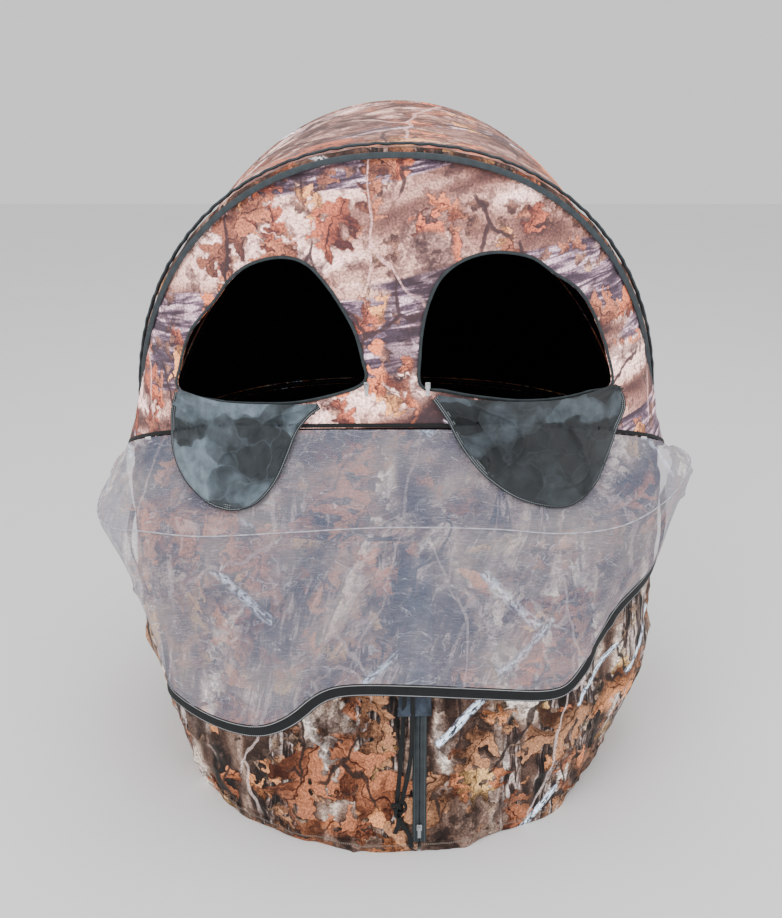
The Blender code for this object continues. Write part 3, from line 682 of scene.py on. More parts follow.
def plain_cloth(name, colour, rough=0.8, pitch=0.0014, mottle=0.25, sheen=0.1, stitches=(), thread=(0.5, 0.5, 0.5),
                bump=0.0004, wrinkle=0.0, thread_size=0.0006, shine=0.3):
    """Woven tape or coated cloth in one colour, with rows of stitches at set distances across it; wrinkled cloth also
    gets crumple shade and crease highlights painted into its colour.
    """
    material, w, shader = new_material(name)
    flat = cloth_vector(w)
    worn = w.noise(flat, 55.0, 3.0, 0.6).outputs[0]
    low = tuple(c * (1 - mottle) for c in colour)
    high = tuple(c * (1 + mottle) + 0.004 for c in colour)
    tint = w.ramp(worn, [(0.3, low), (0.7, high)])
    weave = w.group(WEAVE, Vector=flat, Pitch=pitch)
    height = w.math("MULTIPLY", weave.outputs["Height"], 1.0)
    # painted shade and highlight: crumple facets darken and lighten the colour, and crease ridges are painted lighter,
    # as light falls on crumpled coated nylon
    if wrinkle:
        drift = w.noise(flat, 13.0, 2.0, 0.5).outputs["Color"]
        bent = w.vector("ADD", w.scaled(flat, 13.0, 24.0), w.scaled(drift, 1.5, 1.5))
        folds = w.cells(bent, "DISTANCE_TO_EDGE").outputs["Distance"]
        ridge = w.math("MULTIPLY", w.ease(folds, 0.045, 0.0), w.noise(flat, 31.0, 2.0, 0.5).outputs[0])
        sharp, soft = (w.add("SeparateColor", [w.cells(bent, kind).outputs["Color"]]).outputs[0]
                       for kind in ("F1", "SMOOTH_F1"))
        facet = w.math("MULTIPLY_ADD", sharp, 0.35, w.math("MULTIPLY", soft, 0.65))
        hollow = w.ease(w.math("ADD", facet, w.math("MULTIPLY", w.noise(flat, 24.0, 2.0, 0.5).outputs[0], 0.5)),
                        0.45, 1.05)
        tint = w.mix(1.0, tint, w.ramp(hollow, [(0.0, (0.32, 0.32, 0.32)), (0.5, (0.9, 0.9, 0.9)),
                                                (1.0, (2.2, 2.2, 2.2))]), "MULTIPLY")
        tint = w.mix(w.math("MULTIPLY", ridge, 0.22), tint, tuple(min(1.0, c * 4.0) for c in colour) + (1.0,))
        height = w.math("MULTIPLY_ADD", w.math("ADD", hollow, w.math("MULTIPLY", ridge, 0.3)), wrinkle, height)
    for across in stitches:
        row = w.group(STITCH, Vector=flat, Across=across, Thread=thread_size)
        tint = w.mix(row.outputs["Mask"], tint, (*thread, 1.0))
        height = w.math("ADD", w.math("SUBTRACT", height, w.math("MULTIPLY", row.outputs["Pucker"], 2.0)),
                        w.math("MULTIPLY", row.outputs["Mask"], 2.5))
    w.put(shader.inputs["Base Color"], tint)
    w.put(shader.inputs["Roughness"], w.ease(worn, 0.3, 0.7, rough - 0.06, rough + 0.06))
    shader.inputs["Sheen Weight"].default_value = sheen
    shader.inputs["Specular IOR Level"].default_value = shine
    bumped(w, shader, height, 0.6, bump)
    return material


def net_cloth(name):
    """Fine see-through netting with a faint woodland print under a blue-lilac bloom, and crease lines painted lighter
    as highlights.
    """
    material, w, shader = new_material(name)
    flat = cloth_vector(w)
    drawn = w.group(PRINT, Vector=w.scaled(flat, 0.85, 1.0), Seed=5.3, Log=0.0, Pale=0.45, Haze=0.22,
                    Haze_Colour=(0.34, 0.34, 0.42, 1.0), Leaves=0.6, Depth=1.5, Gain=1.9)
    washed = w.noise(flat, 7.0, 2.0, 0.5).outputs[0]
    veil = w.ramp(washed, [(0.30, (0.33, 0.37, 0.54)), (0.52, (0.46, 0.45, 0.56)), (0.70, (0.60, 0.54, 0.56))])
    colour = w.mix(0.46, w.mix(1.0, drawn.outputs["Color"], (1.1, 1.3, 1.5, 1.0), "MULTIPLY"), veil)
    ribs = w.noise(w.scaled(flat, 40.0, 520.0), 1.0, 2.0, 0.6).outputs[0]
    colour = w.mix(w.ease(ribs, 0.50, 0.72, 0.0, 0.35), colour, (0.66, 0.66, 0.74, 1.0))
    net = w.group(WEAVE, Vector=flat, Pitch=0.0016)
    creases = w.noise(w.scaled(flat, 9.0, 22.0), 1.0, 3.0, 0.55, 1.2).outputs[0]
    line = w.ease(w.math("ABSOLUTE", w.math("SUBTRACT", creases, 0.5)), 0.010, 0.0)
    # painted highlight: thin crease lines lightened as folds catching the light; the same lines also raise the alpha
    # below
    colour = w.mix(w.math("MULTIPLY", line, 0.38), colour, (0.74, 0.72, 0.78, 1.0))
    w.put(shader.inputs["Base Color"], colour)
    dense = w.math("MULTIPLY_ADD", net.outputs["Threads"], 0.22, w.ease(washed, 0.3, 0.7, 0.36, 0.52))
    w.put(shader.inputs["Alpha"], w.math("MAXIMUM", dense, w.math("MULTIPLY", line, 0.85)))
    shader.inputs["Roughness"].default_value = 0.75
    shader.inputs["Sheen Weight"].default_value = 0.08
    shader.inputs["Sheen Tint"].default_value = (0.8, 0.82, 1.0, 1.0)
    bumped(w, shader, w.math("MULTIPLY_ADD", creases, 3.0, net.outputs["Threads"]), 0.4, 0.0008)
    return material


def hard_finish(name, colour, rough, metal=0.0, grain=220.0, wear=0.25, streak=(1.0, 1.0, 1.0), coat=0.0, shine=0.5):
    """Moulded, pultruded or plated part, read from its place in the object."""
    material, w, shader = new_material(name)
    place = w.add("TexCoord").outputs["Object"]
    grit = w.add("TexNoise", {"Vector": w.vector("MULTIPLY", place, streak), "Scale": grain, "Detail": 4.0,
                              "Roughness": 0.6}, noise_dimensions="3D").outputs[0]
    patches = w.add("TexNoise", {"Vector": place, "Scale": grain / 9, "Detail": 3.0}, noise_dimensions="3D").outputs[0]
    pale = tuple(min(1.0, c * (1 + wear) + 0.03 * wear) for c in colour)
    dull = tuple(c * (1 - wear) for c in colour)
    w.put(shader.inputs["Base Color"], w.mix(w.ease(patches, 0.35, 0.7), (*dull, 1.0), (*pale, 1.0)))
    w.put(shader.inputs["Roughness"], w.ease(grit, 0.3, 0.7, max(rough - 0.08, 0.05), rough + 0.10))
    shader.inputs["Metallic"].default_value = metal
    shader.inputs["Coat Weight"].default_value = coat
    shader.inputs["Specular IOR Level"].default_value = shine
    bumped(w, shader, grit, 0.35, 0.0002)
    return material


# ---- settings that a user would change ----
class BlindSizes(bpy.types.PropertyGroup):
    cloth: bpy.props.FloatProperty(name="Cloth thickness", description="Thickness of the coated shell cloth",
                                   default=0.0010, min=0.0003, max=0.003, unit="LENGTH")
    wrinkle: bpy.props.FloatProperty(name="Wrinkle depth", description="How far slack cloth stands off its hoops",
                                     default=0.0075, min=0.0, max=0.02, unit="LENGTH")
    band: bpy.props.FloatProperty(name="Hoop band", description="Half width of each dark band beside the front hoop",
                                  default=0.0058, min=0.002, max=0.02, unit="LENGTH")
    binding: bpy.props.FloatProperty(name="Apron binding", description="Half width of the tape along the apron's edge",
                                     default=0.0125, min=0.005, max=0.03, unit="LENGTH")
    strap: bpy.props.FloatProperty(name="Tie strap", description="Half width of the tie straps",
                                   default=0.0048, min=0.002, max=0.01, unit="LENGTH")


class BlindColours(bpy.types.PropertyGroup):
    # painted light: the pink haze that pales the sunlit hood print
    bloom: bpy.props.FloatVectorProperty(name="Painted light haze", description="Haze over the sunlit hood print",
                                         default=(0.47, 0.34, 0.35), size=3, min=0, max=1, subtype="COLOR")
    slate: bpy.props.FloatVectorProperty(name="Hoop bands", description="Slate bands beside the front hoop",
                                         default=(0.040, 0.052, 0.060), size=3, min=0, max=1, subtype="COLOR")
    coated: bpy.props.FloatVectorProperty(name="Window flaps", description="Coated nylon of the window flaps",
                                          default=(0.030, 0.040, 0.048), size=3, min=0, max=1, subtype="COLOR")
    webbing: bpy.props.FloatVectorProperty(name="Webbing", description="Straps and bindings",
                                           default=(0.006, 0.007, 0.008), size=3, min=0, max=1, subtype="COLOR")
    floor: bpy.props.FloatVectorProperty(name="Floor", description="Studio floor",
                                         default=(0.86, 0.86, 0.86), size=3, min=0, max=1, subtype="COLOR")


MATS = {}
TREES = {}


def sizes():
    return bpy.context.scene.blind_sizes


def tree_from(points, order, nu, nv):
    """Something to rest other pieces on: the sheet's points as a search tree."""
    grid = points[order]
    wide = nu + 1
    polys = [(j * wide + i, j * wide + i + 1, (j + 1) * wide + i + 1, (j + 1) * wide + i)
             for j in range(nv) for i in range(nu)]
    return BVHTree.FromPolygons([Vector(p) for p in grid], polys)


def front_of(trees, x, z, back=0.0):
    """The furthest forward surface at x and z, and its outward direction."""
    best, normal = back, Vector((0, -1, 0))
    for tree in trees:
        hit, turn, _, _ = tree.ray_cast(Vector((x, -1.0, z)), Vector((0, 1, 0)))
        if hit and hit.y < best:
            best, normal = hit.y, (turn if turn.y < 0 else -turn)
    return best, normal


def rest_on(trees, flat, lift):
    """Lay a line given as x and z on the surface, standing off it by lift."""
    points, ups = [], []
    for x, z in flat:
        y, n = front_of(trees, x, z)
        points.append(Vector((x, y, z)) + n * lift)
        ups.append(n)
    return np.array(points), np.array(ups)


def declare(obj, body, nodes=()):
    """Tie a finished piece to its body and hide the CAD parts it stands for."""
    if body:
        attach(obj, body)
    if nodes:
        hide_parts(*nodes)
    return obj


# ---- placing of each sheet ----
def face_place(s, t):
    return between(FRONT_HOOP, FACE_HEM, s, t)


def face_height(p, s, t):
    edge = share(t, 0.0, 0.12) * (1 - share(t, 0.90, 1.0)) * share(s, 0, 0.06) * (1 - share(s, 0.94, 1))
    depth = sizes().wrinkle
    soft = rough(p, 7.0, 1.0) * depth * 0.9
    side = share(np.abs(p[:, 0]), 0.22, 0.45)
    crush = (creased(p, 9.0, 2.0, 0.9, 0.12) * 0.5 + rough(p, 22.0, 3.0, 2, 0.5) * 0.45) * depth * (0.22 + 0.62 * side)
    return CLOTH_OUT + edge * (soft + crush)


def face_cloth_uv(p, s, t):
    return np.stack([0.62 * np.arcsin(np.clip(p[:, 0] / 0.66, -1, 1)), (1.33 - p[:, 2]) * 1.06], -1)


def gore_place(hoop_a, hoop_b, sag):
    """Cloth between two hoops, drawn in a little between them."""
    def place(s, t):
        p = between(hoop_a, hoop_b, s, t)
        pull = np.sin(math.pi * t)[:, None] * sag
        return p - unit(p - HUB * np.array((1, 1, 1))) * pull * np.sin(math.pi * np.clip(s, 0.02, 0.98))[:, None]
    return place


def roof_height(seed):
    def height(p, s, t):
        edge = np.sin(math.pi * np.clip(t, 0, 1)) ** 0.6 * share(s, 0, 0.08) * (1 - share(s, 0.92, 1))
        wave = rough(p * np.array((0.6, 1, 1)), 10.0, seed, 2, 0.4) * 0.6
        wave = wave + creased(p * np.array((0.35, 1, 1)), 13.0, seed + 1, 0.5, 0.16) * 0.45
        return CLOTH_OUT + edge * wave * sizes().wrinkle * 0.85
    return height


def skirt_slack(p):
    """How far slack skirt cloth stands out: folds that deepen towards the ground."""
    low = 1 - share(p[:, 2], 0.30, 0.63)
    tall = p * np.array((1.0, 1.0, 0.42))
    folds = rough(tall, 6.0, 11.0, 2, 0.5) * 0.021 * low
    crush = (rough(p, 17.0, 12.0, 2, 0.6) * 0.009 + creased(p, 8.0, 13.0, 0.8, 0.10) * 0.006 - 0.002) * (0.35 + 0.65 * low)
    door = share(np.abs(p[:, 0] - DOOR_X), 0.012, 0.06)
    near = np.where(p[:, 1] < 0, 0.25 + 0.75 * door, 1.0)
    return (folds + crush) * near * share(0.655 - p[:, 2], 0.0, 0.06)


def skirt_height(p, s, t):
    return skirt_slack(p)


def skirt_uv(p, s, t):
    return np.stack([0.57 * np.arctan2(p[:, 0], -p[:, 1]), p[:, 2]], -1)


def skirt_place(tau_low, tau_high, tab=False, top=0.640):
    """Skirt between two plan angles, each given at every height; a side may rise in a tab over its hub."""
    def place(s, t):
        z = 0.022 + (top - 0.022) * t
        a = tau_low(z) if callable(tau_low) else tau_low
        b = tau_high(z) if callable(tau_high) else tau_high
        tau = a + (b - a) * s
        p = skirt_at(tau, z)
        if tab:
            lift = np.sqrt(np.maximum(0.058 ** 2 - p[:, 1] ** 2, 0.0))
            p[:, 2] += lift * share(t, 0.80, 1.0)
        return p
    return place


# along the crease over the lap hoop, and along the free edge, from left to right
RIDGE_LINE = ((-0.598, -0.075, 0.652), (-0.618, -0.190, 0.642), (-0.606, -0.300, 0.630), (-0.556, -0.392, 0.640),
              (-0.480, -0.440, 0.654), (-0.371, -0.478, 0.662), (-0.244, -0.468, 0.663), (-0.122, -0.452, 0.664),
              (-0.027, -0.446, 0.666), (0.071, -0.446, 0.666), (0.186, -0.452, 0.665), (0.310, -0.468, 0.663),
              (0.423, -0.438, 0.664), (0.520, -0.350, 0.669), (0.590, -0.245, 0.677), (0.630, -0.150, 0.688),
              (0.606, -0.075, 0.668))
EDGE_LINE = ((-0.590, -0.090, 0.560), (-0.575, -0.210, 0.535), (-0.520, -0.330, 0.500), (-0.478, -0.400, 0.440),
             (-0.462, -0.432, 0.370), (-0.450, -0.452, 0.318), (-0.413, -0.482, 0.300), (-0.338, -0.522, 0.286),
             (-0.262, -0.550, 0.292), (-0.201, -0.560, 0.326), (-0.150, -0.560, 0.372), (-0.090, -0.560, 0.392),
             (0.040, -0.560, 0.390), (0.180, -0.552, 0.378), (0.300, -0.528, 0.360), (0.346, -0.508, 0.385),
             (0.386, -0.480, 0.448), (0.428, -0.448, 0.500), (0.505, -0.372, 0.540), (0.560, -0.250, 0.580),
             (0.592, -0.095, 0.600))
CREASE = 0.40


def apron_place(s, t):
    """The apron: from the face's foot out to the crease, then down to its free edge."""
    b0 = hoop_start(FACE_HEM)
    top = hoop_at(FACE_HEM, b0 + (math.pi - 2 * b0) * (1 - s))
    out = top - HUB
    out[:, 0] *= 0.3
    top = top + unit(out) * 0.0105 + np.array((0, -0.001, -0.003))
    ridge = spline(RIDGE_LINE, s)
    edge = spline(EDGE_LINE, s)
    a = np.clip(t / CREASE, 0, 1)[:, None]
    b = np.clip((t - CREASE) / (1 - CREASE), 0, 1)[:, None]
    return np.where(t[:, None] <= CREASE, top * (1 - a) + ridge * a, ridge * (1 - b) + edge * b)


def apron_height(p, s, t):
    free = share(t, 0.03, 0.16) * (1 - 0.85 * np.exp(-((t - CREASE) / 0.03) ** 2)) * (1 - 0.6 * share(t, 0.93, 1.0))
    sag = -0.010 * np.sin(math.pi * np.clip(t / CREASE, 0, 1)) * np.sin(math.pi * s) ** 0.5
    soft = rough(p * np.array((1, 1, 0.6)), 6.0, 21.0, 2, 0.5) * 0.007 + 0.004
    lines = creased(p * np.array((1.0, 1.0, 0.8)), 5.0, 22.0, 1.0, 0.035) * 0.007
    tug = np.zeros(len(p))
    for x0, x1 in ((-0.371, -0.45), (-0.371, -0.27), (0.31, 0.37), (-0.02, 0.12), (-0.02, -0.16)):
        b = np.clip((t - CREASE) / (1 - CREASE), 0, 1)
        tug += np.exp(-((p[:, 0] - (x0 + (x1 - x0) * b)) / 0.007) ** 2) * 0.007 * share(t, CREASE, 0.5)
    return 0.002 + free * (soft + lines + tug) + np.where(t < CREASE, sag * 0.6, 0.0)


FLAP_EDGES = {
    "left": (((-0.428, 0.888), (-0.350, 0.877), (-0.250, 0.879), (-0.150, 0.884)),
             ((-0.430, 0.880), (-0.440, 0.835), (-0.434, 0.785), (-0.400, 0.745), (-0.356, 0.722), (-0.313, 0.712),
              (-0.270, 0.718), (-0.235, 0.750), (-0.212, 0.795), (-0.196, 0.832), (-0.172, 0.862), (-0.148, 0.880))),
    "right": (((0.076, 0.902), (0.140, 0.893), (0.240, 0.884), (0.330, 0.884), (0.430, 0.896)),
              ((0.072, 0.896), (0.098, 0.860), (0.130, 0.806), (0.175, 0.758), (0.228, 0.725), (0.282, 0.712),
               (0.330, 0.714), (0.372, 0.738), (0.402, 0.775), (0.428, 0.815), (0.446, 0.852), (0.434, 0.888)))}


def flap_place(label):
    top, low = (np.array(line) for line in FLAP_EDGES[label])
    trees = (TREES["face"], TREES["apron"])

    def lift_of(x, z):
        y = np.array([min(front_of(trees, a, b + d)[0] for d in (-0.012, 0.0, 0.012)) for a, b in zip(x, z)])
        return y - 0.0085

    low_even = even(spline(low, np.linspace(0, 1, 200)), 400)

    def place(s, t):
        q = spline(top, s) * (1 - t)[:, None]
        at = 0.015 + 0.97 * s
        edge = np.stack([np.interp(at, np.linspace(0, 1, len(low_even)), low_even[:, k]) for k in (0, 1)], -1)
        q = q + edge * t[:, None]
        return q

    def solid(s, t):
        q = place(s, t)
        return np.stack([q[:, 0], lift_of(q[:, 0], q[:, 1]), q[:, 1]], -1)

    return solid, low_even


# ---- operators, one for each piece or group of like pieces ----
class BLIND_OT_finishes(bpy.types.Operator):
    """Make every cloth, trim and hardware finish and give the carried-over parts theirs"""
    bl_idname = "blind.finishes"
    bl_label = "Finishes"

    def execute(self, context):
        c = context.scene.blind_colours
        bloom, slate, coated, webbing = (tuple(x) for x in (c.bloom, c.slate, c.coated, c.webbing))
        # hood and roof prints: haze, paler ground and higher gain are painted light, a paler pink-lilac copy of the
        # skirt print as if lit from above
        MATS["face"] = printed_cloth("hood print", (1.0, 1.0), 2.0, log=0.85, pale=0.55, haze=0.10, haze_colour=bloom,
                                     leaves=0.50, gain=(1.20, 1.12, 1.30), depth=1.65, lift=2.75)
        MATS["roof"] = printed_cloth("roof print", (0.62, 1.55), 7.0, log=0.5, pale=0.45, haze=0.14,
                                     haze_colour=(0.46, 0.31, 0.28), leaves=0.66, gain=(1.07, 1.0, 1.13), depth=1.5, lift=2.25)
        MATS["skirt"] = printed_cloth("skirt print", (1.0, 1.0), 0.0, log=0.0, pale=0.04, haze=0.0, leaves=0.62,
                                      gain=(0.98, 1.22, 1.40))
        MATS["hem"] = printed_cloth("folded hem print", (1.0, 1.0), 0.0, leaves=0.62, hem=(0.019, 0.0165),
                                    pale=0.04, gain=(0.98, 1.22, 1.40))
        MATS["sleeve"] = printed_cloth("hoop sleeve print", (1.0, 1.0), 4.0, log=0.0, haze=0.05, leaves=0.7,
                                       gain=(0.62, 0.60, 0.60))
        # black interior cloth, partly painted shade: set near pure black, darker than the coated cloth, so the inside
        # seen through the windows stays black
        MATS["lining"] = plain_cloth("black lining", (0.003, 0.003, 0.0035), 0.9, 0.0011, sheen=0.0, shine=0.1)
        MATS["net"] = net_cloth("apron netting")
        MATS["fold"] = plain_cloth("doubled netting", (0.46, 0.45, 0.52), 0.75, 0.0016, 0.3, 0.05)
        MATS["slate"] = plain_cloth("slate hoop band", slate, 0.62, 0.0010, 0.18, 0.03, bump=0.0003)
        MATS["binding"] = plain_cloth("binding tape", webbing, 0.75, 0.0016, 0.3, 0.02, (-0.0098, 0.0098),
                                      (0.52, 0.53, 0.55), 0.0006, thread_size=0.0007)
        MATS["webbing"] = plain_cloth("black webbing", webbing, 0.7, 0.0018, 0.3, 0.02, bump=0.0006)
        MATS["zip"] = plain_cloth("zip tape", (0.030, 0.040, 0.045), 0.6, 0.0011, 0.25, 0.02, (0.0040,),
                                  (0.12, 0.14, 0.15), thread_size=0.0005)
        MATS["flap"] = plain_cloth("coated flap nylon", coated, 0.40, 0.0013, 0.30, 0.03, bump=0.0016, wrinkle=3.0, shine=0.55)
        # painted light: a lighter copy of the flap nylon for the left flap, which faces the light
        MATS["flap painted lit"] = plain_cloth("coated flap nylon, painted lit", tuple(x * 2.3 for x in coated), 0.42, 0.0013, 0.28,
                                        0.03, bump=0.0016, wrinkle=3.0, shine=0.55)
        MATS["flap tape"] = plain_cloth("flap border tape", (0.020, 0.024, 0.027), 0.65, 0.0012, 0.3, 0.02,
                                        (-0.0038, 0.0, 0.0038), (0.26, 0.29, 0.31), thread_size=0.0006)
        MATS["guard"] = plain_cloth("zip guard nylon", (0.020, 0.028, 0.042), 0.6, 0.0014, 0.3, 0.03, bump=0.0008,
                                    wrinkle=1.5)
        MATS["rod"] = hard_finish("black fibreglass", (0.006, 0.006, 0.007), 0.6, grain=380, streak=(1, 6, 6), shine=0.15)
        MATS["hub"] = hard_finish("moulded hub plastic", (0.012, 0.012, 0.013), 0.5, grain=260, shine=0.3)
        MATS["steel"] = hard_finish("blackened steel", (0.10, 0.10, 0.105), 0.38, 1.0, 300, 0.18)
        MATS["slider"] = hard_finish("cast zip slider", (0.52, 0.54, 0.56), 0.36, 0.9, 420, 0.3)
        wanted = {"bow": "rod", "plate": "hub", "eye": "steel", "bolt": "steel", "washer": "steel", "nut": "steel",
                  "slider": "slider", "pull": "slider"}
        for name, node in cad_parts.items():
            words = name.split("_")
            key = next((wanted[k] for k in ("plate", "eye", "bolt", "washer", "nut", "slider", "pull", "bow")
                        if k in words), None)
            if key:
                node.data.materials.clear()
                node.data.materials.append(MATS[key])
        return {"FINISHED"}


class BLIND_OT_face(bpy.types.Operator):
    """Front face of the hood with its two window openings"""
    bl_idname = "blind.face"
    bl_label = "Face and windows"

    def execute(self, context):
        nu, nv = 240, 84
        bm, s, t, order = grid_bmesh(nu, nv)
        bm.free()
        points = face_place(s, t)
        normals = normals_of(face_place, s, t)
        points = points + normals * face_height(points, s, t)[:, None]
        TREES["face"] = tree_from(points, order, nu, nv)
        loops = [even(spline(w, np.linspace(0, 1, 400), True), 900) for w in (LEFT_WINDOW, RIGHT_WINDOW)]

        def cut(middles):
            return inside(middles[:, 0], middles[:, 2], loops[0]) | inside(middles[:, 0], middles[:, 2], loops[1])

        def clipped(s, t):
            return face_place(s, 0.004 + 0.992 * t)

        face = cloth("face_cloth", clipped, (nu, nv), (MATS["face"], MATS["lining"]), sizes().cloth, face_height,
                     face_cloth_uv, cut=cut)
        edge = np.concatenate(loops)
        bm = bmesh.new()
        bm.from_mesh(face.data)
        rim = {v for e in bm.edges if e.is_boundary for v in e.verts}
        for vert in rim:
            away = np.hypot(edge[:, 0] - vert.co.x, edge[:, 1] - vert.co.z)
            near = int(away.argmin())
            if away[near] < 0.012:
                vert.co.x, vert.co.z = edge[near]
                vert.co.y = front_of((TREES["face"],), *edge[near])[0]
        bm.to_mesh(face.data)
        bm.free()
        declare(face, None, ("face_panel",))
        weights = 1 - share(hub_angle(mesh_points(face)), 42, 68)
        bend(face, "front_hoop", "face", weights)
        for label, loop in zip(("left", "right"), loops):
            line = even(np.vstack([loop, loop[:1]]), 421)[:-1]
            path, ups = rest_on((TREES["face"],), line, 0.0022)
            run = unit(np.roll(path, -1, axis=0) - np.roll(path, 1, axis=0))
            side = np.cross(run, ups)
            middle = path.mean(0)
            if ((path - middle) * side).sum() < 0:
                side = -side
            path = path + side * 0.0035
            tape = np.array(((-0.0042, -0.0008), (-0.0042, 0.0006), (-0.0032, 0.0022), (-0.0014, 0.0022),
                             (-0.0004, 0.0008), (0.0020, 0.0005), (0.0020, -0.0008), (0.0, -0.0010),
                             (-0.0042, -0.0008)))
            zip_tape = band("window_tape_" + label, path, side, ups, tape, (MATS["zip"],), ring=True)
            declare(zip_tape, None, ("window_zip_" + label,))
            bend(zip_tape, "front_hoop", "face", 1 - share(hub_angle(mesh_points(zip_tape)), 42, 68))
        return {"FINISHED"}


class BLIND_OT_roof(bpy.types.Operator):
    """Roof and back cloth between the hoops"""
    bl_idname = "blind.roof"
    bl_label = "Roof and back"

    def execute(self, context):
        for name, node, hoops, bodies, angles, rows, sag, seed, flat, area in (
                ("roof_front_cloth", "roof_front", (FRONT_HOOP, CROWN_HOOP), ("crown_hoop", "front_hoop"), (97, 70),
                 40, 0.004, 31.0, (1.75, 0.34), 0.42),
                ("roof_rear_cloth", "roof_rear", (CROWN_HOOP, BACK_HOOP), ("back_hoop", "crown_hoop"), (138, 97),
                 60, 0.010, 33.0, (1.75, 0.52), 0.61),
                ("back_cloth", "back_panel", (BACK_HOOP, REAR_WAIST), ("base_frame", "back_hoop"), (180, 138),
                 60, 0.008, 35.0, (1.75, 0.52), 0.54)):
            def place(s, t, inner=gore_place(*hoops, sag)):
                close = 0.001 + 0.03 * (1 - share(np.minimum(s, 1 - s), 0.0, 0.10))
                return inner(s, close + (1 - 2 * close) * t)
            sheet = cloth(name, place, (230, rows), (MATS["roof"], MATS["lining"]), sizes().cloth, roof_height(seed))
            declare(sheet, None, (node,))
            low, high = sorted(angles)
            bend(sheet, *bodies, 1 - share(hub_angle(mesh_points(sheet)), low, high))
        return {"FINISHED"}


class BLIND_OT_hoop_sleeve(bpy.types.Operator):
    """Sleeve over each hoop, and the smooth slate band along each side of the front one"""
    bl_idname = "blind.hoop_sleeve"
    bl_label = "Hoop sleeves"

    def around(self, hoop, start, count):
        """Stations along a hoop: its rod, its run, and the outward and rearward directions."""
        t0 = hoop_start(hoop, start)
        t = np.linspace(t0, math.pi - t0, count)
        rod = hoop_at(hoop, t)
        run = unit(np.gradient(rod, axis=0))
        up = unit(rod - HUB)
        up = unit(up - run * (up * run).sum(-1, keepdims=True))
        back = np.cross(run, up)
        phi = math.radians(hoop[3])
        rearward = np.array((0.0, math.sin(phi), math.cos(phi)))
        back = np.where((back * rearward).sum(-1, keepdims=True) < 0, -back, back)
        return t, rod, run, up, back

    def sleeve(self, name, stations, span, reach, mat, body, nodes):
        """Cloth wrapped round the outside of a hoop between two angles."""
        t, rod, run, up, back = stations
        nu, nv = len(t) - 1, 12
        angle = np.radians(np.linspace(*span, nv + 1))
        bm, s, q, order = grid_bmesh(nu, nv)
        i, j = np.round(s * nu).astype(int), np.round(q * nv).astype(int)
        points = rod[i] + (up[i] * np.cos(angle[j])[:, None] + back[i] * np.sin(angle[j])[:, None]) * reach[i][:, None]
        for vert, point in zip(bm.verts, points):
            vert.co = point
        face_out(bm, points - rod[i])
        cover = thicken(finish_mesh(name, bm, (MATS[mat], MATS["lining"]), metres(points, order, nu, nv)), 0.0009)
        declare(cover, body, nodes)

    def execute(self, context):
        count = 260
        t, rod, run, up, back = self.around(FRONT_HOOP, 0.090, count)
        wave = 1 + 0.05 * np.sin(t * 31) + 0.04 * np.sin(t * 57 + 1)
        self.sleeve("hoop_sleeve", (t, rod, run, up, back), (-58, 34), 0.0142 * wave, "sleeve", "front_hoop",
                    ("front_sleeve",))
        for name, node, angle, reach in (("hoop_band_front", "sleeve_piping_front", -66, 0.0190),
                                         ("hoop_band_rear", "sleeve_piping_rear", 30, 0.0205)):
            a = math.radians(angle)
            out = up * math.cos(a) + back * math.sin(a)
            across = np.cross(run, out)
            pucker = 0.0006 * np.sin(t * 90) + 0.0005 * np.sin(t * 143 + 2)
            path = rod + out * (reach + pucker[:, None])
            trim = band(name, path, across, out, slab(sizes().band, 0.0026, 14, 0.6), (MATS["slate"],))
            declare(trim, "front_hoop", (node,))
        for name, hoop, body, mat, spread in (("crown_sleeve", CROWN_HOOP, "crown_hoop", "roof", 78),
                                              ("back_sleeve", BACK_HOOP, "back_hoop", "roof", 84),
                                              ("waist_sleeve", REAR_WAIST, "base_frame", "skirt", 118),
                                              ("lap_sleeve", LAP_HOOP, "base_frame", "skirt", 118)):
            frame_set = self.around(hoop, 0.072, 200)
            self.sleeve(name, frame_set, (-spread, spread), 0.0084 + 0 * frame_set[0], mat, body, ())
        return {"FINISHED"}


class BLIND_OT_skirt(bpy.types.Operator):
    """Skirt cloth in five widths, and its folded hem on the ground"""
    bl_idname = "blind.skirt"
    bl_label = "Skirt"

    def execute(self, context):
        rad = math.radians
        widths = (("skirt_front_left", skirt_place(rad(-144), lambda z: tau_at(DOOR_X - 0.002, z)), (112, 112), (0.59, 0.62)),
                  ("skirt_front_right", skirt_place(lambda z: tau_at(DOOR_X + 0.002, z), rad(-36)), (106, 112), (0.50, 0.62)),
                  ("skirt_back", skirt_place(rad(30), rad(150)), (150, 70), (1.21, 0.62)),
                  ("skirt_side_left", skirt_place(rad(216), rad(150), True), (90, 84), (0.65, 0.65)),
                  ("skirt_side_right", skirt_place(rad(-36), rad(30), True), (90, 84), (0.65, 0.65)))
        for node, place, size, flat in widths:
            sheet = cloth(node + "_cloth", place, size, (MATS["skirt"], MATS["lining"]), sizes().cloth, skirt_height,
                          skirt_uv, centre=np.array((0.0, 0.0, 0.35)))
            declare(sheet, "base_frame", (node,))
        low, high = float(tau_at(DOOR_X + 0.003, np.array(0.0))), float(tau_at(DOOR_X - 0.003, np.array(0.0)))

        def hem_place(s, t):
            return skirt_at(low + (high + 2 * math.pi - low) * s, 0.0012 + 0.0248 * t, 0.0016)

        hem = cloth("folded_hem", hem_place, (420, 5), (MATS["hem"], MATS["lining"]), 0.0024, skirt_height,
                    lambda p, s, t: skirt_uv(p, s, t), centre=np.array((0.0, 0.0, 0.01)))
        declare(hem, "base_frame", ("ground_hem",))
        return {"FINISHED"}


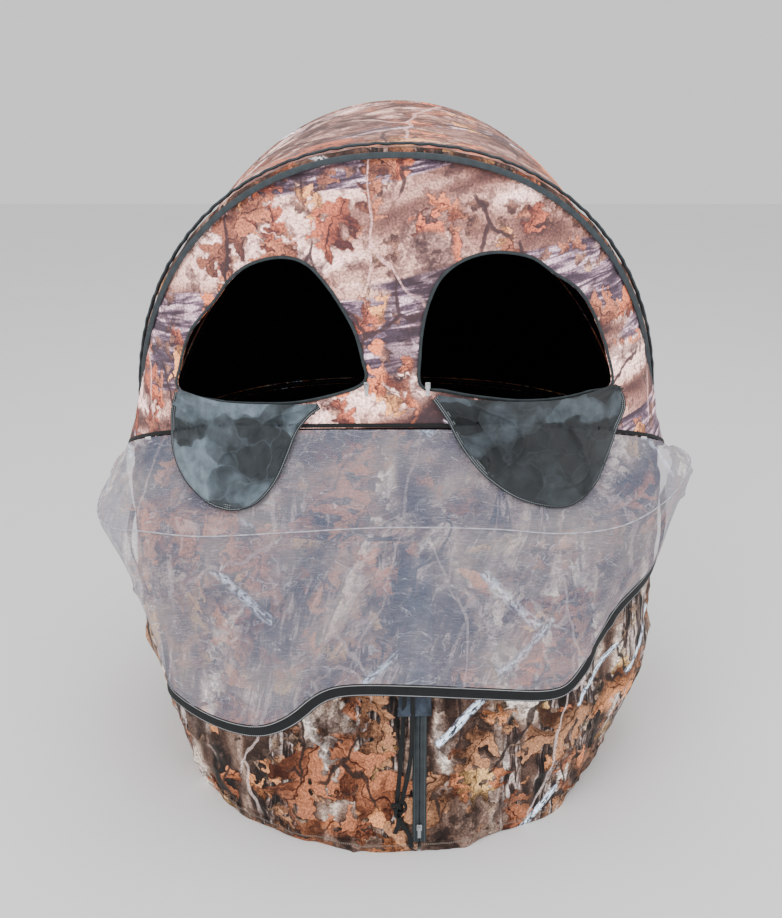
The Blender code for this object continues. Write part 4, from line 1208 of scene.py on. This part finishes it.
class BLIND_OT_apron(bpy.types.Operator):
    """See-through apron, its black binding, and the tape along the foot of the face"""
    bl_idname = "blind.apron"
    bl_label = "Mesh apron"

    def execute(self, context):
        nu, nv = 260, 96
        bm, s, t, order = grid_bmesh(nu, nv)
        bm.free()
        points = apron_place(s, t)
        normals = normals_of(apron_place, s, t)
        raised = points + normals * apron_height(points, s, t)[:, None]
        TREES["apron"] = tree_from(raised, order, nu, nv)
        net = cloth("apron_net", apron_place, (nu, nv), (MATS["net"],), 0.0006, apron_height)
        net.modifiers.clear()
        declare(net, None, ("apron_upper", "apron_drop"))
        grid = raised[order].reshape(nv + 1, nu + 1, 3)
        share_down = np.zeros(len(points))
        flat = mesh_points(net)
        tree = KDTree(len(raised))
        for k, p in enumerate(raised):
            tree.insert(p, k)
        tree.balance()
        share_down = np.array([t[tree.find(p)[1]] for p in flat])
        bend(net, "face", "apron", share(share_down, CREASE - 0.02, CREASE + 0.03))
        edge = grid[-1]
        down = unit(grid[-1] - grid[-4])
        path = even(smoothed(edge, 9), 361)
        down = smoothed(down + np.array((0, 0, -0.8)), 41)
        fall = unit(np.stack([np.interp(np.linspace(0, 1, 361), np.linspace(0, 1, nu + 1), down[:, k])
                              for k in range(3)], -1))
        run = unit(np.gradient(path, axis=0))
        fall = unit(fall - run * (fall * run).sum(-1, keepdims=True))
        out = np.cross(run, fall)
        out = np.where((out * (path - HUB * np.array((1, 1, 0)))).sum(-1, keepdims=True) < 0, -out, out)
        half = sizes().binding
        path = path + fall * (half - 0.003)
        trim = band("apron_tape", path, fall, out, slab(half, 0.0015, 12, 0.5), (MATS["binding"],))
        declare(trim, "apron", ("apron_binding",))
        s_crease = np.linspace(0.015, 0.985, 260)
        crease, ups = apron_place(s_crease, np.full(260, CREASE)), np.tile((0.0, -0.55, 0.83), (260, 1))
        crease = crease + normals_of(apron_place, s_crease, np.full(260, CREASE - 0.01)) * 0.0032
        side, ups = frames_along(crease, ups)
        fold = band("apron_crease", crease, side, ups, slab(0.0013, 0.0010, 8, 0.8), (MATS["fold"],))
        declare(fold, "face")
        line = face_place(np.linspace(0.012, 0.988, 240), np.full(240, 0.985))
        s_line, t_line = np.linspace(0.012, 0.988, 240), np.full(240, 0.985)
        ups = normals_of(face_place, s_line, t_line)
        side, ups = frames_along(line, ups)
        tape = band("face_foot_tape", line + ups * (CLOTH_OUT + 0.0028), side, ups, slab(0.0038, 0.0008, 10, 0.5),
                    (MATS["webbing"],))
        declare(tape, "face", ("face_hem_tape",))
        return {"FINISHED"}


class BLIND_OT_flaps(bpy.types.Operator):
    """Coated window flaps turned down over the sill, with stitched border tape"""
    bl_idname = "blind.flaps"
    bl_label = "Window flaps"

    def execute(self, context):
        # the left flap takes the lighter copy of the flap nylon, painted as lit
        for label, mat, seed, flat, area in (("left", "flap painted lit", 41.0, (0.30, 0.18), 0.047),
                                             ("right", "flap", 44.0, (0.37, 0.19), 0.057)):
            place, outline = flap_place(label)

            def height(p, s, t):
                free = share(t, 0.02, 0.18) * (1 - share(t, 0.80, 0.94))
                soft = (rough(p, 10.0, seed, 2, 0.8) + 0.3) * 0.008
                lines = creased(p * np.array((1, 1, 1.2)), 9.0, seed + 1, 1.3, 0.06) * 0.0105
                fine = creased(p, 21.0, seed + 2, 1.0, 0.08) * 0.0028
                return free * np.clip(soft + lines + fine, 0.0, 0.020)

            sheet = cloth("flap_cloth_" + label, place, (120, 66), (MATS[mat],), 0.0011, height,
                          lambda p, s, t: p[:, [0, 2]], centre=np.array((0.0, 0.6, 0.8)))
            declare(sheet, label + "_flap", ("flap_" + label,))
            line = even(outline, 181)
            path, ups = rest_on((TREES["face"], TREES["apron"]), line, 0.0)
            y = np.convolve(np.pad(path[:, 1], 6, mode="edge"), np.ones(13) / 13, "valid")
            path[:, 1] = np.minimum(y, path[:, 1]) - 0.0120
            side, ups = frames_along(path, np.tile((0.0, -0.85, 0.45), (len(path), 1)))
            trim = band("flap_border_" + label, path, side, ups, slab(0.0066, 0.0017, 12, 0.55),
                        (MATS["flap tape"],))
            declare(trim, label + "_flap", ("flap_tape_" + label,))
        return {"FINISHED"}


class BLIND_OT_door(bpy.types.Operator):
    """Door zip, its guard behind the apron, and the tie straps with their knot"""
    bl_idname = "blind.door"
    bl_label = "Door zip and straps"

    def execute(self, context):
        z = np.linspace(0.026, 0.600, 120)
        for label, sign in (("left", -1), ("right", 1)):
            tau = tau_at(DOOR_X + sign * 0.0062, z)
            path = skirt_at(tau, z, 0.0024)
            path = path + unit(path * np.array((1, 1, 0))) * np.maximum(skirt_slack(path), -0.001)[:, None]
            side, ups = frames_along(path, path * np.array((1, 1, 0)))
            side = side * np.sign(side[:, :1]) * sign
            tape = np.array(((-0.0056, -0.0006), (-0.0056, 0.0012), (-0.0044, 0.0026), (-0.0026, 0.0026),
                             (-0.0012, 0.0010), (0.0076, 0.0007), (0.0076, -0.0006), (-0.0056, -0.0006)))
            half = band("door_tape_" + label, path, side, ups, tape, (MATS["zip"],))
            declare(half, "base_frame", ("door_zip_" + label,))
        zg = np.linspace(0.300, 0.612, 60)
        path = skirt_at(tau_at(0.034, zg), zg, 0.0100)
        side, ups = frames_along(path, path * np.array((1, 1, 0)))
        wide = 0.033 * (1 - 0.42 * share(zg, 0.585, 0.612)) + 0.001 * np.sin(zg * 90)
        guard = band("zip_guard", path, side * (wide / 0.033)[:, None], ups, slab(0.033, 0.0009, 12, 0.5),
                     (MATS["guard"],))
        declare(guard, "base_frame")
        reach = {"left": ((0.016, 0.392), (0.013, 0.30), (0.007, 0.20), (0.002, 0.135), (0.001, 0.102),
                          (0.010, 0.070), (0.024, 0.045), (0.030, 0.014)),
                 "right": ((0.030, 0.392), (0.030, 0.30), (0.026, 0.21), (0.014, 0.140), (0.006, 0.100),
                           (0.004, 0.085), (0.002, 0.066), (-0.004, 0.050))}
        for label, points in reach.items():
            line = even(spline(np.array(points), np.linspace(0, 1, 160)), 120)
            path = skirt_at(tau_at(line[:, 0], line[:, 1]), line[:, 1], 0.0105 if label == "right" else 0.0078)
            lean = share(line[:, 1], 0.30, 0.392) * 0.036
            path[:, 1] -= lean
            side, ups = frames_along(path, path * np.array((0.4, 1, 0)))
            turn = 0.55 * np.sin(line[:, 1] * 26 + (0 if label == "left" else 1.7))
            side, ups = (side * np.cos(turn)[:, None] + ups * np.sin(turn)[:, None],
                         ups * np.cos(turn)[:, None] - side * np.sin(turn)[:, None])
            strap = band("strap_" + label, path, side, ups, slab(sizes().strap, 0.0009, 10, 0.5), (MATS["webbing"],))
            declare(strap, "base_frame", ("tie_strap_" + label,))
        a = np.linspace(0, 2 * math.pi, 161)[:-1]
        x, up = np.sin(a) + 2 * np.sin(2 * a), np.cos(a) - 2 * np.cos(2 * a)
        y = skirt_at(tau_at(0.004, np.array(0.108)), np.array(0.108))[1]
        path = np.stack([0.004 + 0.0052 * x, y - 0.0150 - 0.0042 * np.sin(3 * a), 0.106 + 0.0068 * up], -1)
        side, ups = frames_along(path, np.stack([x, -1.5 + 0 * x, up], -1), True)
        knot = band("strap_knot", path, side, ups, slab(0.0042, 0.0016, 10, 0.6), (MATS["webbing"],), ring=True)
        declare(knot, "tie_strap_slide", ("strap_slide",))
        return {"FINISHED"}


class BLIND_OT_stage(bpy.types.Operator):
    """Pale floor, soft studio light and the camera"""
    bl_idname = "blind.stage"
    bl_label = "Stage"

    def execute(self, context):
        bm = bmesh.new()
        bmesh.ops.create_grid(bm, x_segments=4, y_segments=4, size=9.0)
        floor = finish_mesh("studio_floor", bm, ())
        material, w, shader = new_material("studio floor")
        place = w.add("TexCoord").outputs["Object"]
        tone = w.add("TexNoise", {"Vector": place, "Scale": 3.0, "Detail": 3.0}, noise_dimensions="3D").outputs[0]
        c = tuple(context.scene.blind_colours.floor)
        w.put(shader.inputs["Base Color"], w.ramp(tone, [(0.3, tuple(x * 0.985 for x in c)), (0.7, c)]))
        shader.inputs["Roughness"].default_value = 0.9
        floor.data.materials.append(material)
        world = bpy.data.worlds.new("studio")
        context.scene.world = world
        world.use_nodes = True
        world.node_tree.nodes["Background"].inputs["Color"].default_value = (1.0, 1.0, 1.0, 1.0)
        world.node_tree.nodes["Background"].inputs["Strength"].default_value = 0.95
        for name, place, size, power, target in (
                ("key light", (-1.9, -3.0, 3.6), 2.6, 95.0, (0, -0.2, 0.7)),
                ("fill light", (2.6, -2.8, 2.4), 3.0, 45.0, (0, -0.2, 0.6)),
                ("top light", (0.2, 0.6, 4.2), 3.0, 60.0, (0, 0.0, 0.9))):
            data = bpy.data.lights.new(name, "AREA")
            data.shape = "DISK"
            data.size = size
            data.energy = power
            lamp = bpy.data.objects.new(name, data)
            lamp.location = place
            lamp.rotation_euler = (Vector(target) - Vector(place)).to_track_quat("-Z", "Y").to_euler()
            context.scene.collection.objects.link(lamp)
        data = bpy.data.cameras.new("view")
        data.lens = 40.2
        camera = bpy.data.objects.new("view", data)
        camera.location = (-0.0115, -2.2, 1.5)
        camera.rotation_euler = (math.radians(68.4), 0.0, 0.0)
        context.scene.collection.objects.link(camera)
        context.scene.camera = camera
        return {"FINISHED"}


STEPS = (BLIND_OT_finishes, BLIND_OT_face, BLIND_OT_roof, BLIND_OT_hoop_sleeve, BLIND_OT_skirt, BLIND_OT_apron,
         BLIND_OT_flaps, BLIND_OT_door, BLIND_OT_stage)


class BLIND_PT_panel(bpy.types.Panel):
    """Steps and settings of the ground blind"""
    bl_idname = "BLIND_PT_panel"
    bl_label = "Ground blind"
    bl_space_type = "VIEW_3D"
    bl_region_type = "UI"
    bl_category = "Blind"

    def draw(self, context):
        for step in STEPS:
            self.layout.operator(step.bl_idname)
        for group in (context.scene.blind_sizes, context.scene.blind_colours):
            for key in group.bl_rna.properties.keys():
                if key not in ("rna_type", "name"):
                    self.layout.prop(group, key)


CLASSES = (BlindSizes, BlindColours, *STEPS, BLIND_PT_panel)


def register():
    for cls in CLASSES:
        bpy.utils.register_class(cls)
    bpy.types.Scene.blind_sizes = bpy.props.PointerProperty(type=BlindSizes)
    bpy.types.Scene.blind_colours = bpy.props.PointerProperty(type=BlindColours)


def unregister():
    del bpy.types.Scene.blind_colours
    del bpy.types.Scene.blind_sizes
    for cls in reversed(CLASSES):
        bpy.utils.unregister_class(cls)


def main():
    register()
    bpy.ops.blind.finishes()
    bpy.ops.blind.face()
    bpy.ops.blind.roof()
    bpy.ops.blind.hoop_sleeve()
    bpy.ops.blind.skirt()
    bpy.ops.blind.apron()
    bpy.ops.blind.flaps()
    bpy.ops.blind.door()
    bpy.ops.blind.stage()


if __name__ == "__main__":
    main()
